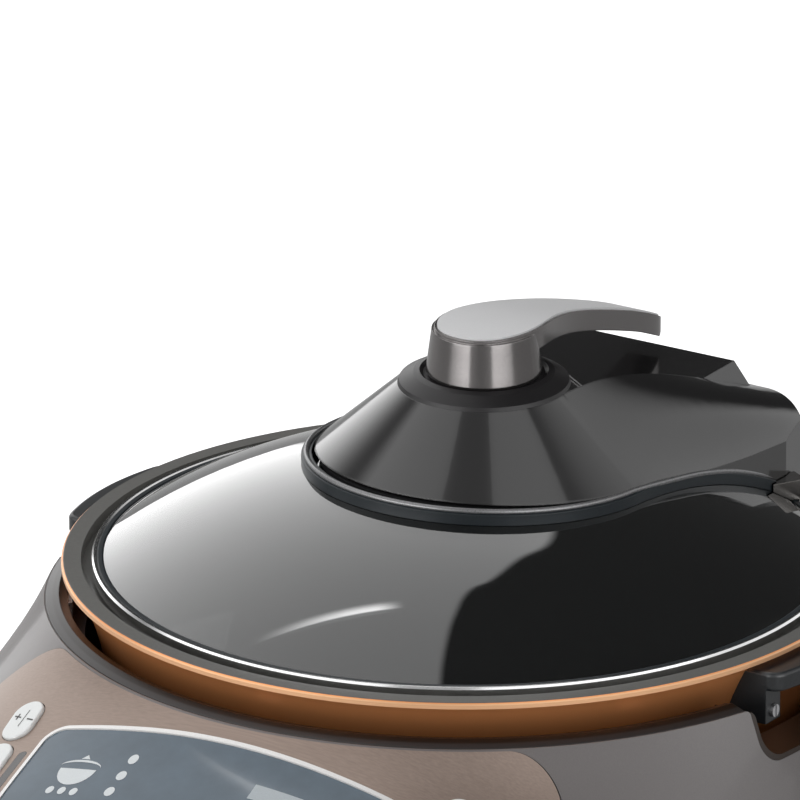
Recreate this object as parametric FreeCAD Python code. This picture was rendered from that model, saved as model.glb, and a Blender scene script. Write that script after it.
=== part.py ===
# Countertop cooker: a lift-out pot in a heated well, under a domed glass lid that is
# hinged at the back, with a sloping control panel in front.
# Sizes are in millimetres. X runs to the right, Y to the back and Z up from the table.
# Every shape is made round the upright axis of the pot, and moved back by AXIS_Y when it
# is saved, so that the whole object stands centred on its origin.
import FreeCAD, Part
import math
import os

Vector = FreeCAD.Vector
os.makedirs("parts", exist_ok=True)

# Clearances
FIT = 0.1                 # pieces of one body that are seated on each other
GAP = 0.3                 # pieces that only come near each other
RUN = 0.05                # running clearance round the hinge pin, on the radius
SLIDE = 0.35              # round a button in its hole

# Heights above the table
RIM_Z = 190.0             # rim plane of the lid band
FOOT_H = 8.0
BASE_T = 4.0              # thickness of the base plate
LIP_DROP = 18.0           # lip of the body below the rim plane
LIP_Z = RIM_Z - LIP_DROP
BASE_Z = FOOT_H + BASE_T  # lower edge of the body shell

# Body shell: outlines at seven levels, from the round lip to the foot of the wall
WALL = 3.2
LIP_R = 170.0             # outer radius of the lip
OPENING_R = 164.0         # round opening in the lip
PANEL_SLOPE = 28.0        # fall of the control panel, in degrees
NOSE_REACH = 279.0        # furthest point of the front, from the pot axis
BACK_REACH = 198.0        # furthest point of the back, from the pot axis
SIDE_REACH = 190.0        # half of the body's width
LEVEL_DROPS = (0.0, 23.0, 46.0, 65.0, 93.0, 133.0)
SIDE_SHARES = (0.0, 0.20, 0.50, 0.75, 1.0, 1.0, 0.7)
BACK_SHARES = (0.0, 0.71, 0.93, 1.0, 1.0, 0.97, 0.71)
SQUARENESS = (2.0, 2.2, 2.5, 2.7, 2.8, 2.8, 2.8)
NOSE_EASE = 6.0           # how far the front stands back where the slope turns down
NOSE_TUCK = 9.0           # how far the foot of the front is drawn in
OUTLINE_POINTS = 48
AXIS_Y = (NOSE_REACH - BACK_REACH) / 2

# Rim ring and well
RING_T = 2.4
WELL_T = 1.0
WELL_STEP_R = 158.5       # radius below the first step
WELL_R = 153.5            # radius of the deep part
WELL_STEP_1 = 26.0        # depths below the rim plane
WELL_STEP_2 = 33.0
WELL_FLOOR = 132.0

# Pot
POT_FLANGE_R = 163.0
POT_LIP_H = 2.6           # height of the rolled outer edge
POT_TOP = -1.0            # top of the flange from the rim plane
POT_MOUTH_R = 155.0       # inner edge of the flange
POT_LEDGE = 6.5           # depth of the ledge that carries the lid
POT_LEDGE_R = 146.5
POT_ROOT_R = 159.5        # outside, where the wall meets the flange
POT_WALL_R = 150.0        # outside, below the flange
POT_WALL = 3.5
POT_DEPTH = 112.0         # underside of the pot below the rim plane
POT_FLOOR_R = 80.0

# Pot handles and the finger notches that they hang over
HANDLE_HALF = 36.0
HANDLE_OUT = 174.0        # reach of the handle's middle
HANDLE_ARC_R = 120.0      # curve of its outer edge
HANDLE_TOP = 6.0          # depth of the handle's top below the rim plane
HANDLE_T = 8.0
HANDLE_ROUND = 7.0
HANDLE_EASE = 1.6
BRACKET_LOW = 28.0        # depth of the bracket's foot below the rim plane
BRACKET_W = 11.0
BRACKET_R = 161.5
HANDLE_SCREW_R = 2.6
NOTCH_HALF = 46.0
NOTCH_DEPTH = 20.5        # below the lip
NOTCH_ROUND = 10.0
NOTCH_EASE = 4.0          # rounding of its mouth
POCKET_T = 2.0

# Lid
BAND_R = 150.6
BAND_T = 2.3
BAND_UP = 0.6             # top of the band above the rim plane
BAND_LOW = 6.2            # foot of band and seal below the rim plane
GLASS_R = 147.0
GLASS_T = 4.0
DOME_H = 43.0
SEAL_IN_R = 144.5
BORE_R = 16.0             # hole in the middle of the glass

FRAME_T = 3.0             # top of the carrier over the glass
CLAMP_R = 34.0
CLAMP_SCREW_R = 2.0

# Fairing on the lid
CONE_Y = 14.5             # axis of cone and knob, behind the pot axis
CONE_FOOT_R = 73.0
CONE_FOOT_Z = 36.0        # heights above the rim plane
CONE_TOP_R = 35.0
CONE_TOP_Z = 69.5
FAIRING_T = 2.5
FAIRING_END_HALF = 76.0   # half width where the fairing passes over the band
FAIRING_BACK_R = 160.0
SKIRT_Z = 1.6             # lower edge of the back skirt above the rim plane
DECK_Z = 47.0
DECK_HALF = 41.5
DECK_BACK = 141.0
DECK_BACK_SLOPE = 79.0
DECK_SIDE_SLOPE = 58.0
TRIM_H = 4.5
TRIM_T = 3.5
TRIM_PROUD = 0.8          # reach of the trim beyond the fairing's edge
CLIP_X, CLIP_Y = 77.0, 122.5

# Collar, knob and lever
COLLAR_TOP_R = 24.6
COLLAR_H = 5.5
KNOB_FOOT_R = 23.6
KNOB_TOP_R = 20.4
KNOB_H = 20.0
PLATE_T = 2.2
PLATE_INSET = 1.1
LEVER_TIP = 132.5         # from the knob axis
LEVER_T = 7.5
LEVER_HALVES = ((0.0, 20.4), (22.0, 18.0), (47.0, 13.2), (74.0, 11.2), (98.0, 10.0), (118.0, 8.6),
                (128.0, 5.6))
LEVER_TOPS = ((-30.0, 94.5), (0.0, 95.0), (25.0, 92.8), (47.0, 88.2), (68.0, 82.2), (88.0, 75.6),
              (109.0, 67.9), (132.0, 57.5), (150.0, 49.0))
BOLT_R = 4.0

# Hinge
HINGE_Y = 184.0
HINGE_DROP = 8.0          # axis below the rim plane
PIN_R = 3.0
BARREL_R = 8.5
ARM_HALF = 38.0
ARM_TOP = 24.0            # top of the arm above the rim plane
EAR_T = 10.0
EAR_GAP = 0.5             # side play of the arm between the ears
HINGE_SCREW_X = 30.0
HINGE_BOSS_LOW = 50.0     # foot of the hinge bosses in the shell, below the rim plane

# Control panel
PANEL_HALF = 136.0
PANEL_FOOT_Z = 122.0      # height of the panel's lower edge
PANEL_TOP_R = 171.0       # top edge follows the lip
PANEL_T = 1.6
PANEL_PROUD = 0.4
PANEL_ROUND = 20.0
SCREEN_HALF = 84.4
SCREEN_TOP = 176.5
SCREEN_FRONT = 246.0
SCREEN_ROUND = 9.0
SCREEN_BORDER = 1.6
LENS_X = 88.8             # left of the middle, between display and buttons
LENS_HALF = 1.9
LENS_TOP = 190.0
LENS_FRONT = 220.0
BUTTON_LONG = 11.5        # half length, along the slope
BUTTON_ROUND = 7.1
BUTTON_PLACES = ((101.0, 171.5), (100.5, 195.5))
BUTTON_TRAVEL = 1.2
BUTTON_FLANGE = 1.5
BUTTON_DEEP = 7.0         # from the skin to the retaining flange
BOARD_HALF = 89.0         # control board
BOARD_BACK = 192.0
BOARD_FRONT = 244.0
BOARD_BELOW = 12.0        # below the foot of the buttons
BOARD_T = 1.6
POST_R = 2.5
POST_INSET = 4.0

# Heater and sensor
PLATE_R = 76.0
PLATE_H = 8.0
ELEMENT_R = 55.0
ELEMENT_TUBE = 3.6
SENSOR_R = 13.0
SENSOR_TRAVEL = 1.5
STEM_R = 4.5
TERMINAL_R = 2.5

# Underside
FOOT_R = 14.0
FOOT_X = 120.0
FOOT_FRONT = 190.0
FOOT_BACK = 130.0
SCREW_R = 3.0
INLET_HALF = 14.0
INLET_H = 20.0
INLET_Z = 42.0
BOSS_R = 5.5
BOSS_H = 16.0
BOSS_INSET = 6.0          # from the foot of the wall
BOSS_TURNS = (35, 145, 205, 335, 250, 290)

# Sprung clips on the well's edge, which centre the pot
RIM_CLIP_HALF = 5.5
RIM_CLIP_T = 0.8
RIM_CLIP_TURNS = (-90, -32, -148)


def save(name, shape):
    """Move a finished shape to its place and write it as one file."""
    placed = shape.copy()
    placed.translate(Vector(0, AXIS_Y, 0))
    placed.exportStep("parts/" + name + ".step")


def cylinder(radius, low, high, x=0.0, y=0.0):
    """Upright cylinder between two heights."""
    return Part.makeCylinder(radius, high - low, Vector(x, y, low))


def cross_cylinder(radius, left, right, y, z):
    """Cylinder along X between two places."""
    return Part.makeCylinder(radius, right - left, Vector(left, y, z), Vector(1, 0, 0))


def block(left, right, front, back, low, high):
    """Box given by its six sides."""
    return Part.makeBox(right - left, back - front, high - low, Vector(left, front, low))


def turned(points):
    """Solid turned round Z from straight-sided pairs of radius and height."""
    corners = [Vector(r, 0, z) for r, z in points]
    wire = Part.makePolygon(corners + corners[:1])
    return Part.Face(wire).revolve(Vector(0, 0, 0), Vector(0, 0, 1), 360)


def smooth_edge(points):
    """Smooth open curve through points."""
    curve = Part.BSplineCurve()
    curve.interpolate(points)
    return curve.toShape()


def closed_curve(points):
    """Smooth closed curve through points, as a wire."""
    curve = Part.BSplineCurve()
    curve.interpolate(Points=points, PeriodicFlag=True)
    return Part.Wire([curve.toShape()])


def upright(wire, low, high):
    """Solid with a flat outline, raised from one height to another."""
    face = Part.Face(wire)
    face.translate(Vector(0, 0, low - wire.BoundBox.ZMin))
    return face.extrude(Vector(0, 0, high - low))


def along_x(points, left, right):
    """Solid with a side outline of pairs of Y and Z, drawn along X."""
    corners = [Vector(left, y, z) for y, z in points]
    face = Part.Face(Part.makePolygon(corners + corners[:1]))
    return face.extrude(Vector(right - left, 0, 0))


def rounded_upright(solid, radius):
    """Round the upright edges of a straight-sided solid."""
    edges = [e for e in solid.Edges if is_upright(e)]
    return solid.makeFillet(radius, edges)


def is_upright(edge):
    """True for a straight edge along Z."""
    ends = [v.Point for v in edge.Vertexes]
    if len(ends) < 2:
        return False
    step = ends[1] - ends[0]
    return abs(step.x) < 0.001 and abs(step.y) < 0.001 and abs(step.z) > 0.5


def mirrored(shape):
    """The same shape on the other side of the object."""
    return shape.mirror(Vector(0, 0, 0), Vector(1, 0, 0))


def body_levels():
    """Height, side, front and back reach and squareness of each outline of the body."""
    slope = math.tan(math.radians(PANEL_SLOPE))
    fronts = [LIP_R + drop / slope for drop in LEVEL_DROPS[:3]]
    fronts += [NOSE_REACH - NOSE_EASE, NOSE_REACH, NOSE_REACH - 1.0, NOSE_REACH - NOSE_TUCK]
    heights = [LIP_Z - drop for drop in LEVEL_DROPS] + [BASE_Z]
    rows = []
    for i, z in enumerate(heights):
        side = LIP_R + (SIDE_REACH - LIP_R) * SIDE_SHARES[i]
        back = LIP_R + (BACK_REACH - LIP_R) * BACK_SHARES[i]
        rows.append((z, side, fronts[i], back, SQUARENESS[i]))
    return rows


def outline_point(row, inset, turn):
    """Point of a body outline that is drawn in by an amount, at a turn from the right."""
    z, side, front, back, square = row
    c, s = math.cos(turn), math.sin(turn)
    reach = (back if s > 0 else front) - inset
    x = (side - inset) * math.copysign(abs(c) ** (2 / square), c)
    y = reach * math.copysign(abs(s) ** (2 / square), s)
    return Vector(x, y, z)


def body_outline(row, inset, drop):
    """Closed outline at one level, drawn in and lowered by the given amounts."""
    turns = [2 * math.pi * k / OUTLINE_POINTS for k in range(OUTLINE_POINTS)]
    return closed_curve([outline_point(row, inset, turn) - Vector(0, 0, drop) for turn in turns])


def body_form(inset=0.0, drop=0.0):
    """Solid form of the body, lofted through its outlines."""
    return Part.makeLoft([body_outline(row, inset, drop) for row in body_levels()], True, False)


def notch_outline(grow):
    """Side outline of a finger notch, drawn outwards: eased at its mouth and round at its foot."""
    top, foot = LIP_Z + 8.0, LIP_Z - NOTCH_DEPTH - grow
    half, ease, r = NOTCH_HALF + grow, NOTCH_EASE - grow, NOTCH_ROUND
    wide = half + ease
    bow = 1 - math.sin(math.radians(45))
    edges = [Part.makeLine(Vector(0, -wide, top), Vector(0, wide, top))]
    edges.append(Part.makeLine(Vector(0, r - half, foot), Vector(0, half - r, foot)))
    for k in (1, -1):
        mouth = [Vector(0, k * wide, LIP_Z), Vector(0, k * (half + ease * bow), LIP_Z - ease * bow)]
        mouth.append(Vector(0, k * half, LIP_Z - ease))
        corner = [Vector(0, k * half, foot + r), Vector(0, k * (half - r * bow), foot + r * bow)]
        corner.append(Vector(0, k * (half - r), foot))
        edges.append(Part.makeLine(Vector(0, k * wide, top), mouth[0]))
        edges.append(Part.Arc(*mouth).toShape())
        edges.append(Part.makeLine(mouth[2], corner[0]))
        edges.append(Part.Arc(*corner).toShape())
    wire = Part.Wire(Part.sortEdges(edges)[0])
    return Part.Face(wire).extrude(Vector(HANDLE_OUT + 60.0, 0, 0))


def notch(grow=0.0):
    """Cutter for both finger notches, from just inside the well wall outwards."""
    right = notch_outline(grow).cut(cylinder(WELL_STEP_R - 12.0, 0, RIM_Z + 50))
    return right.fuse(mirrored(right))


def panel_prism(grow=0.0, deeper=0.0):
    """Upright prism of the control panel's outline, with its foot lowered by an amount."""
    foot = PANEL_FOOT_Z - grow - deeper
    slab = block(-PANEL_HALF - grow, PANEL_HALF + grow, -NOSE_REACH - 20, -90, foot, RIM_Z)
    slab = slab.cut(cylinder(PANEL_TOP_R - grow, 0, RIM_Z + 50))
    return rounded_upright(slab, PANEL_ROUND)


def screen_prism(inset=0.0):
    """Upright prism of the display's outline."""
    half = SCREEN_HALF - inset
    slab = block(-half, half, -SCREEN_FRONT + inset, -SCREEN_TOP - inset, 50, RIM_Z)
    return rounded_upright(slab, max(SCREEN_ROUND - inset, 1.0))


def lens_prism(grow=0.0):
    """Upright prism of the narrow indicator lens beside the display."""
    half = LENS_HALF + grow
    slab = block(-LENS_X - half, -LENS_X + half, -LENS_FRONT - grow, -LENS_TOP + grow, 50, RIM_Z)
    return rounded_upright(slab, half - 0.05)


def panel_height(reach):
    """Height of the panel's middle at a distance in front of the pot axis."""
    return LIP_Z - (reach - LIP_R) * math.tan(math.radians(PANEL_SLOPE))


BODY = body_form()
SKIN = max(BODY.Faces, key=lambda face: face.Area)


def skin_slab(prism, low, high):
    """Slab of a prism's outline that follows the skin, between two heights over it."""
    patch = SKIN.common(prism)
    patch.translate(Vector(0, 0, low))
    return patch.extrude(Vector(0, 0, high - low)).Solids[0]


def skin_point(x, y):
    """Point of the body's skin above a place in plan."""
    line = Part.makeLine(Vector(x, y, LIP_Z - 80), Vector(x, y, RIM_Z))
    return SKIN.distToShape(line)[1][0][1]


def skin_frame(x, y):
    """Place on the body's skin with its Z square to the skin."""
    middle = skin_point(x, y)
    along = skin_point(x + 4.0, y) - skin_point(x - 4.0, y)
    across = skin_point(x, y + 4.0) - skin_point(x, y - 4.0)
    normal = along.cross(across)
    normal.normalize()
    return FreeCAD.Placement(middle, FreeCAD.Rotation(Vector(0, 0, 1), normal))


def button_post(x, reach, grow, low, high):
    """Oval post square to the skin, between two heights over it."""
    flat = BUTTON_LONG - BUTTON_ROUND
    r = BUTTON_ROUND + grow
    slab = block(-r, r, -flat, flat, low, high)
    post = slab.fuse([cylinder(r, low, high, 0, -flat), cylinder(r, low, high, 0, flat)]).removeSplitter()
    post.Placement = BUTTON_FRAMES[(abs(x), reach)]
    return post if x > 0 else mirrored(post)


BUTTON_FRAMES = {place: skin_frame(place[0], -place[1]) for place in BUTTON_PLACES}


def make_body():
    """Body shell with its opening, notches, panel recess, button holes and socket."""
    lowered = BODY.copy()
    lowered.translate(Vector(0, 0, -PANEL_T - GAP))
    inner = body_form(WALL, WALL)
    cutters = [
        inner, cylinder(OPENING_R - 1.0, LIP_Z - 30, LIP_Z + 20), notch(POCKET_T),
        panel_prism(GAP, PANEL_T).cut(lowered), screen_prism(SCREEN_BORDER + 3.0),
        inlet_block(GAP), block(-300, 300, -350, 300, -50, BASE_Z),
    ]
    for x, reach in BUTTON_PLACES:
        cutters += [button_post(side * x, reach, SLIDE, -30, 12) for side in (-1, 1)]
    bosses = [cylinder(BOSS_R, BASE_Z, BASE_Z + BOSS_H, x, y) for x, y in boss_places()]
    for x in (-HINGE_SCREW_X, HINGE_SCREW_X):
        bosses.append(cylinder(BOSS_R + 0.5, RIM_Z - HINGE_BOSS_LOW, RIM_Z - 30.0, x, HINGE_Y))
    bosses = [boss.common(BODY) for boss in bosses]
    shell = BODY.cut(cutters).fuse(bosses)
    shank = SCREW_R * 0.6
    return shell.cut([base_screws(shank, shank), hinge_screws(shank + FIT, SCREW_R + FIT)])


def make_panel():
    """Brushed insert that covers the slope, with holes for display and buttons."""
    outline = panel_prism().cut([screen_prism(-FIT), lens_prism(FIT)])
    sheet = skin_slab(outline, -PANEL_T, PANEL_PROUD)
    for x, reach in BUTTON_PLACES:
        for side in (-1, 1):
            sheet = sheet.cut(button_post(side * x, reach, SLIDE, -40, 20))
    return sheet


def make_bezel():
    """Pale frame round the display."""
    return skin_slab(screen_prism().cut(screen_prism(SCREEN_BORDER)), -PANEL_T, PANEL_PROUD + 0.6)


def make_screen():
    """Display window inside its frame."""
    return skin_slab(screen_prism(SCREEN_BORDER + FIT), -PANEL_T, PANEL_PROUD)


def make_lens():
    """Narrow indicator lens let into the panel."""
    return skin_slab(lens_prism(), -PANEL_T, PANEL_PROUD)


def make_button(reach_place):
    """Right-hand oval button, with a retaining flange behind the shell."""
    x, reach = reach_place
    top = BUTTON_TRAVEL + PANEL_PROUD
    stem = button_post(x, reach, 0.0, -BUTTON_DEEP, top)
    back = BUTTON_FRAMES[reach_place].inverse()
    crown = [e for e in stem.Edges if all(back.multVec(v.Point).z > top - 0.1 for v in e.Vertexes)]
    flange = button_post(x, reach, BUTTON_FLANGE, -BUTTON_DEEP - BUTTON_FLANGE, -BUTTON_DEEP)
    return stem.makeFillet(0.8, crown).fuse(flange).removeSplitter()


def make_control_board():
    """Circuit board square under the panel, on four posts that reach the shell's underside."""
    deep, length = BUTTON_DEEP + BOARD_BELOW, BOARD_FRONT - BOARD_BACK
    parts = [block(-BOARD_HALF, BOARD_HALF, -length, 0, -deep - BOARD_T, -deep)]
    for x in (-BOARD_HALF + POST_INSET, BOARD_HALF - POST_INSET):
        for y in (-POST_INSET, POST_INSET - length):
            parts.append(cylinder(POST_R, -deep, 0, x, y))
    room = body_form(WALL, WALL + FIT)
    placed = []
    for shape in parts:
        shape.rotate(Vector(0, 0, 0), Vector(1, 0, 0), PANEL_SLOPE)
        shape.translate(Vector(0, -BOARD_BACK, panel_height(BOARD_BACK)))
        placed.append(shape.common(room))
    return placed[0].fuse(placed[1:]).removeSplitter()


def make_ring():
    """Bevelled ring that lies on the shell round the opening and lines its edge."""
    ring = turned([
        (OPENING_R - 1.0 - RING_T, LIP_Z - 6.0), (OPENING_R - 1.0 - FIT, LIP_Z - 6.0),
        (OPENING_R - 1.0 - FIT, LIP_Z), (LIP_R - 0.4, LIP_Z), (OPENING_R, LIP_Z + RING_T),
        (OPENING_R - 1.0 - RING_T, LIP_Z + RING_T - 0.8),
    ])
    return ring.cut(notch(POCKET_T))


def make_well():
    """Stepped well that holds the heat in round the pot."""
    out, low = OPENING_R - 1.0 - RING_T - FIT, RIM_Z - WELL_FLOOR
    step_1, step_2 = RIM_Z - WELL_STEP_1, RIM_Z - WELL_STEP_2
    well = turned([
        (out, LIP_Z - 2.0), (out, step_1 - WELL_T), (WELL_STEP_R + WELL_T, step_1 - WELL_T),
        (WELL_STEP_R + WELL_T, step_2 - WELL_T), (WELL_R + WELL_T, step_2 - WELL_T),
        (WELL_R + WELL_T, low + 12.0), (WELL_R - 12.0, low - WELL_T), (0, low - WELL_T),
        (0, low), (WELL_R - 13.0, low), (WELL_R, low + 12.6), (WELL_R, step_2),
        (WELL_STEP_R, step_2), (WELL_STEP_R, step_1), (out - WELL_T, step_1), (out - WELL_T, LIP_Z - 2.0),
    ])
    well = well.cut(notch(POCKET_T))
    holes = [cylinder(STEM_R + GAP, low - 5, low + 5)]
    holes += [cylinder(TERMINAL_R + GAP, low - 5, low + 5, x, y) for x, y in terminal_places()]
    return well.cut(holes)


def make_pocket():
    """Finger pocket behind a notch: a trough from the skin to the wall of the well."""
    shape = notch_outline(POCKET_T - FIT).cut(notch_outline(0.0)).common(BODY)
    shape = shape.cut(block(0, 400, -400, 400, LIP_Z - 1.0, RIM_Z + 50))
    return shape.cut(cylinder(WELL_R + WELL_T + FIT, 0, RIM_Z))


def pot_outside():
    """Outer curve of the pot, from under the flange to the floor."""
    lip = RIM_Z + POT_TOP - POT_LIP_H
    return smooth_edge([
        Vector(POT_ROOT_R, 0, lip), Vector(POT_ROOT_R - 3.0, 0, lip - 6.0),
        Vector(POT_WALL_R + 1.2, 0, lip - 18.0), Vector(POT_WALL_R - 9.0, 0, lip - 55.0),
        Vector(POT_WALL_R - 36.0, 0, lip - 92.0), Vector(POT_FLOOR_R, 0, RIM_Z - POT_DEPTH),
    ])


def make_pot():
    """Cast pot with a rolled flange, a ledge for the lid and a rounded bowl."""
    top, ledge, low = RIM_Z + POT_TOP, RIM_Z - POT_LEDGE, RIM_Z - POT_DEPTH
    lip = top - POT_LIP_H
    outside = pot_outside()
    inside = smooth_edge([
        Vector(POT_FLOOR_R - 2.0, 0, low + POT_WALL + 1.5),
        Vector(POT_WALL_R - POT_WALL - 35.5, 0, lip - 88.0),
        Vector(POT_WALL_R - POT_WALL - 9.0, 0, lip - 54.0), Vector(POT_LEDGE_R, 0, ledge),
    ])
    rim = Part.makePolygon([
        Vector(POT_LEDGE_R, 0, ledge), Vector(POT_MOUTH_R, 0, ledge), Vector(POT_MOUTH_R, 0, top),
        Vector(POT_FLANGE_R - 1.0, 0, top), Vector(POT_FLANGE_R, 0, top - 1.0),
        Vector(POT_FLANGE_R, 0, lip), Vector(POT_ROOT_R, 0, lip),
    ])
    floor = Part.makePolygon([
        Vector(POT_FLOOR_R, 0, low), Vector(0, 0, low), Vector(0, 0, low + POT_WALL),
        Vector(POT_FLOOR_R - 2.0, 0, low + POT_WALL + 1.5),
    ])
    wire = Part.Wire(Part.sortEdges(rim.Edges + floor.Edges + [outside, inside])[0])
    return Part.Face(wire).revolve(Vector(0, 0, 0), Vector(0, 0, 1), 360)


def pot_wall_form():
    """The pot's outer form below its flange, filled in, to shape what hugs it."""
    top, low = RIM_Z + POT_TOP - POT_LIP_H, RIM_Z - POT_DEPTH
    sides = Part.makePolygon([
        Vector(POT_FLOOR_R, 0, low), Vector(0, 0, low), Vector(0, 0, top), Vector(POT_ROOT_R, 0, top),
    ])
    wire = Part.Wire(Part.sortEdges(sides.Edges + [pot_outside()])[0])
    return Part.Face(wire).revolve(Vector(0, 0, 0), Vector(0, 0, 1), 360)


def make_handle():
    """Right-hand pot handle: a curved slab on two brackets that hug the pot."""
    top = RIM_Z - HANDLE_TOP
    slab = block(POT_WALL_R, HANDLE_OUT + 8.0, -HANDLE_HALF, HANDLE_HALF, top - HANDLE_T, top)
    slab = slab.common(cylinder(HANDLE_ARC_R, 0, RIM_Z, HANDLE_OUT - HANDLE_ARC_R))
    slab = rounded_upright(slab, HANDLE_ROUND)
    rims = [e for e in slab.Edges if not is_upright(e) and e.BoundBox.XMax > POT_WALL_R + HANDLE_ROUND]
    slab = slab.makeFillet(HANDLE_EASE, [e for e in rims if e.BoundBox.ZLength < 0.01])
    slab = slab.cut(cylinder(POT_WALL_R + 3.6, 0, RIM_Z))
    feet = []
    for side in (-1, 1):
        near, far = sorted((side * HANDLE_HALF, side * (HANDLE_HALF - BRACKET_W)))
        foot = block(POT_WALL_R - 12.0, BRACKET_R + 2.0, near, far, RIM_Z - BRACKET_LOW, top - 1.0)
        feet.append(foot)
    handle = slab.fuse(feet).removeSplitter()
    return handle.cut(pot_wall_form()).cut(handle_screws(HANDLE_SCREW_R * 0.6 + FIT, HANDLE_SCREW_R + FIT))


def handle_screws(shank, head):
    """Screws through both brackets of the right-hand handle, from the outside."""
    z = RIM_Z - BRACKET_LOW + 4.5
    screws = []
    for side in (-1, 1):
        y = side * (HANDLE_HALF - BRACKET_W / 2)
        screws.append(cross_cylinder(head, BRACKET_R, BRACKET_R + 3.4, y, z))
        screws.append(cross_cylinder(shank, BRACKET_R - 6.0, BRACKET_R + 1.0, y, z))
    return screws[0].fuse(screws[1:])


def make_handle_screws():
    """Four handle screws, two on each side."""
    right = handle_screws(HANDLE_SCREW_R * 0.6, HANDLE_SCREW_R).removeSplitter()
    z = RIM_Z - BRACKET_LOW + 4.5
    for side in (-1, 1):
        y = side * (HANDLE_HALF - BRACKET_W / 2)
        right = right.cut(block(BRACKET_R + 2.4, BRACKET_R + 4.0, y - 0.45, y + 0.45, z - 3, z + 3))
    return Part.makeCompound(right.Solids + mirrored(right).Solids)


DOME_R = (GLASS_R ** 2 + DOME_H ** 2) / (2 * DOME_H)
DOME_Z = RIM_Z - 0.5 + DOME_H - DOME_R


def dome(raised=0.0):
    """Ball whose top is the outside of the glass, raised by an amount."""
    return Part.makeSphere(DOME_R + raised, Vector(0, 0, DOME_Z))


def make_glass():
    """Domed glass with a hole in its middle."""
    pane = dome().common(cylinder(GLASS_R, RIM_Z - 12, RIM_Z + 60)).cut(dome(-GLASS_T))
    pane = pane.cut(block(-400, 400, -400, 400, 0, RIM_Z - 6.0))
    return pane.cut(cylinder(BORE_R, RIM_Z, RIM_Z + 60, 0, CONE_Y))


def make_seal():
    """Ring of soft seal that grips the edge of the glass and rests on the pot's ledge."""
    inner, outer, top = GLASS_R - 1.0, BAND_R - BAND_T, RIM_Z + 0.3
    ring = turned([
        (inner, top), (outer, top), (outer, RIM_Z - BAND_LOW + 0.6), (outer - 2.0, RIM_Z - BAND_LOW),
        (SEAL_IN_R + 1.5, RIM_Z - BAND_LOW), (SEAL_IN_R, RIM_Z - BAND_LOW + 1.0), (SEAL_IN_R, RIM_Z - 3.0),
    ])
    slot = dome(FIT).cut(dome(-GLASS_T - FIT)).common(cylinder(GLASS_R + FIT, RIM_Z - 12, RIM_Z + 3))
    return ring.cut(slot)


def make_band():
    """Bright rolled band round the seal."""
    inner = BAND_R - BAND_T
    return turned([
        (inner, RIM_Z - BAND_LOW + 0.8), (BAND_R - 0.6, RIM_Z - BAND_LOW + 0.8),
        (BAND_R, RIM_Z - BAND_LOW + 1.6),
        (BAND_R, RIM_Z - 0.2), (BAND_R - 0.7, RIM_Z + BAND_UP), (inner + 0.7, RIM_Z + BAND_UP),
        (inner, RIM_Z),
    ])


def fairing_plan(inset=0.0):
    """Upright prism of the fairing's plan: a half round in front, straight sides, an arc behind."""
    r, half, back = CONE_FOOT_R - inset, FAIRING_END_HALF - inset, FAIRING_BACK_R - inset
    side_y = 125.0
    corner_y = math.sqrt(back ** 2 - (half - 3.0) ** 2)
    front = Part.Arc(Vector(-r, CONE_Y, 0), Vector(0, CONE_Y - r, 0), Vector(r, CONE_Y, 0)).toShape()
    right, left = Vector(half - 3.0, corner_y, 0), Vector(3.0 - half, corner_y, 0)
    rear = Part.Arc(right, Vector(0, back, 0), left).toShape()
    sides = []
    for k in (1, -1):
        sides.append(Part.makeLine(Vector(k * r, CONE_Y, 0), Vector(k * half, side_y, 0)))
        sides.append(Part.makeLine(Vector(k * half, side_y, 0), Vector(k * (half - 3.0), corner_y, 0)))
    wire = Part.Wire(Part.sortEdges([front, rear] + sides)[0])
    return upright(wire, RIM_Z - 20, RIM_Z + 120)


def flank_section(y, foot_z, shoulder_half, shoulder_z, floor_half, floor_z, bulge, inset):
    """One cross outline of the fairing behind the cone, with its valley between shoulders."""
    foot = CONE_FOOT_R + 6.0 - inset
    z0, zf, zs, zv = RIM_Z - 20, RIM_Z + foot_z - inset, RIM_Z + shoulder_z - inset, RIM_Z + floor_z - inset
    xs, xv = shoulder_half - inset * 0.4, floor_half
    xm, zm = (foot + xs) / 2 + bulge * 0.5, (zf + zs) / 2 + bulge
    edges = [Part.makeLine(Vector(-foot, y, z0), Vector(foot, y, z0))]
    edges.append(Part.makeLine(Vector(foot, y, z0), Vector(foot, y, zf)))
    edges.append(smooth_edge([Vector(foot, y, zf), Vector(xm, y, zm), Vector(xs, y, zs)]))
    edges.append(Part.makeLine(Vector(xs, y, zs), Vector(xv, y, zv)))
    edges.append(Part.makeLine(Vector(xv, y, zv), Vector(-xv, y, zv)))
    edges.append(Part.makeLine(Vector(-xv, y, zv), Vector(-xs, y, zs)))
    edges.append(smooth_edge([Vector(-xs, y, zs), Vector(-xm, y, zm), Vector(-foot, y, zf)]))
    edges.append(Part.makeLine(Vector(-foot, y, zf), Vector(-foot, y, z0)))
    return Part.Wire(edges)


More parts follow.
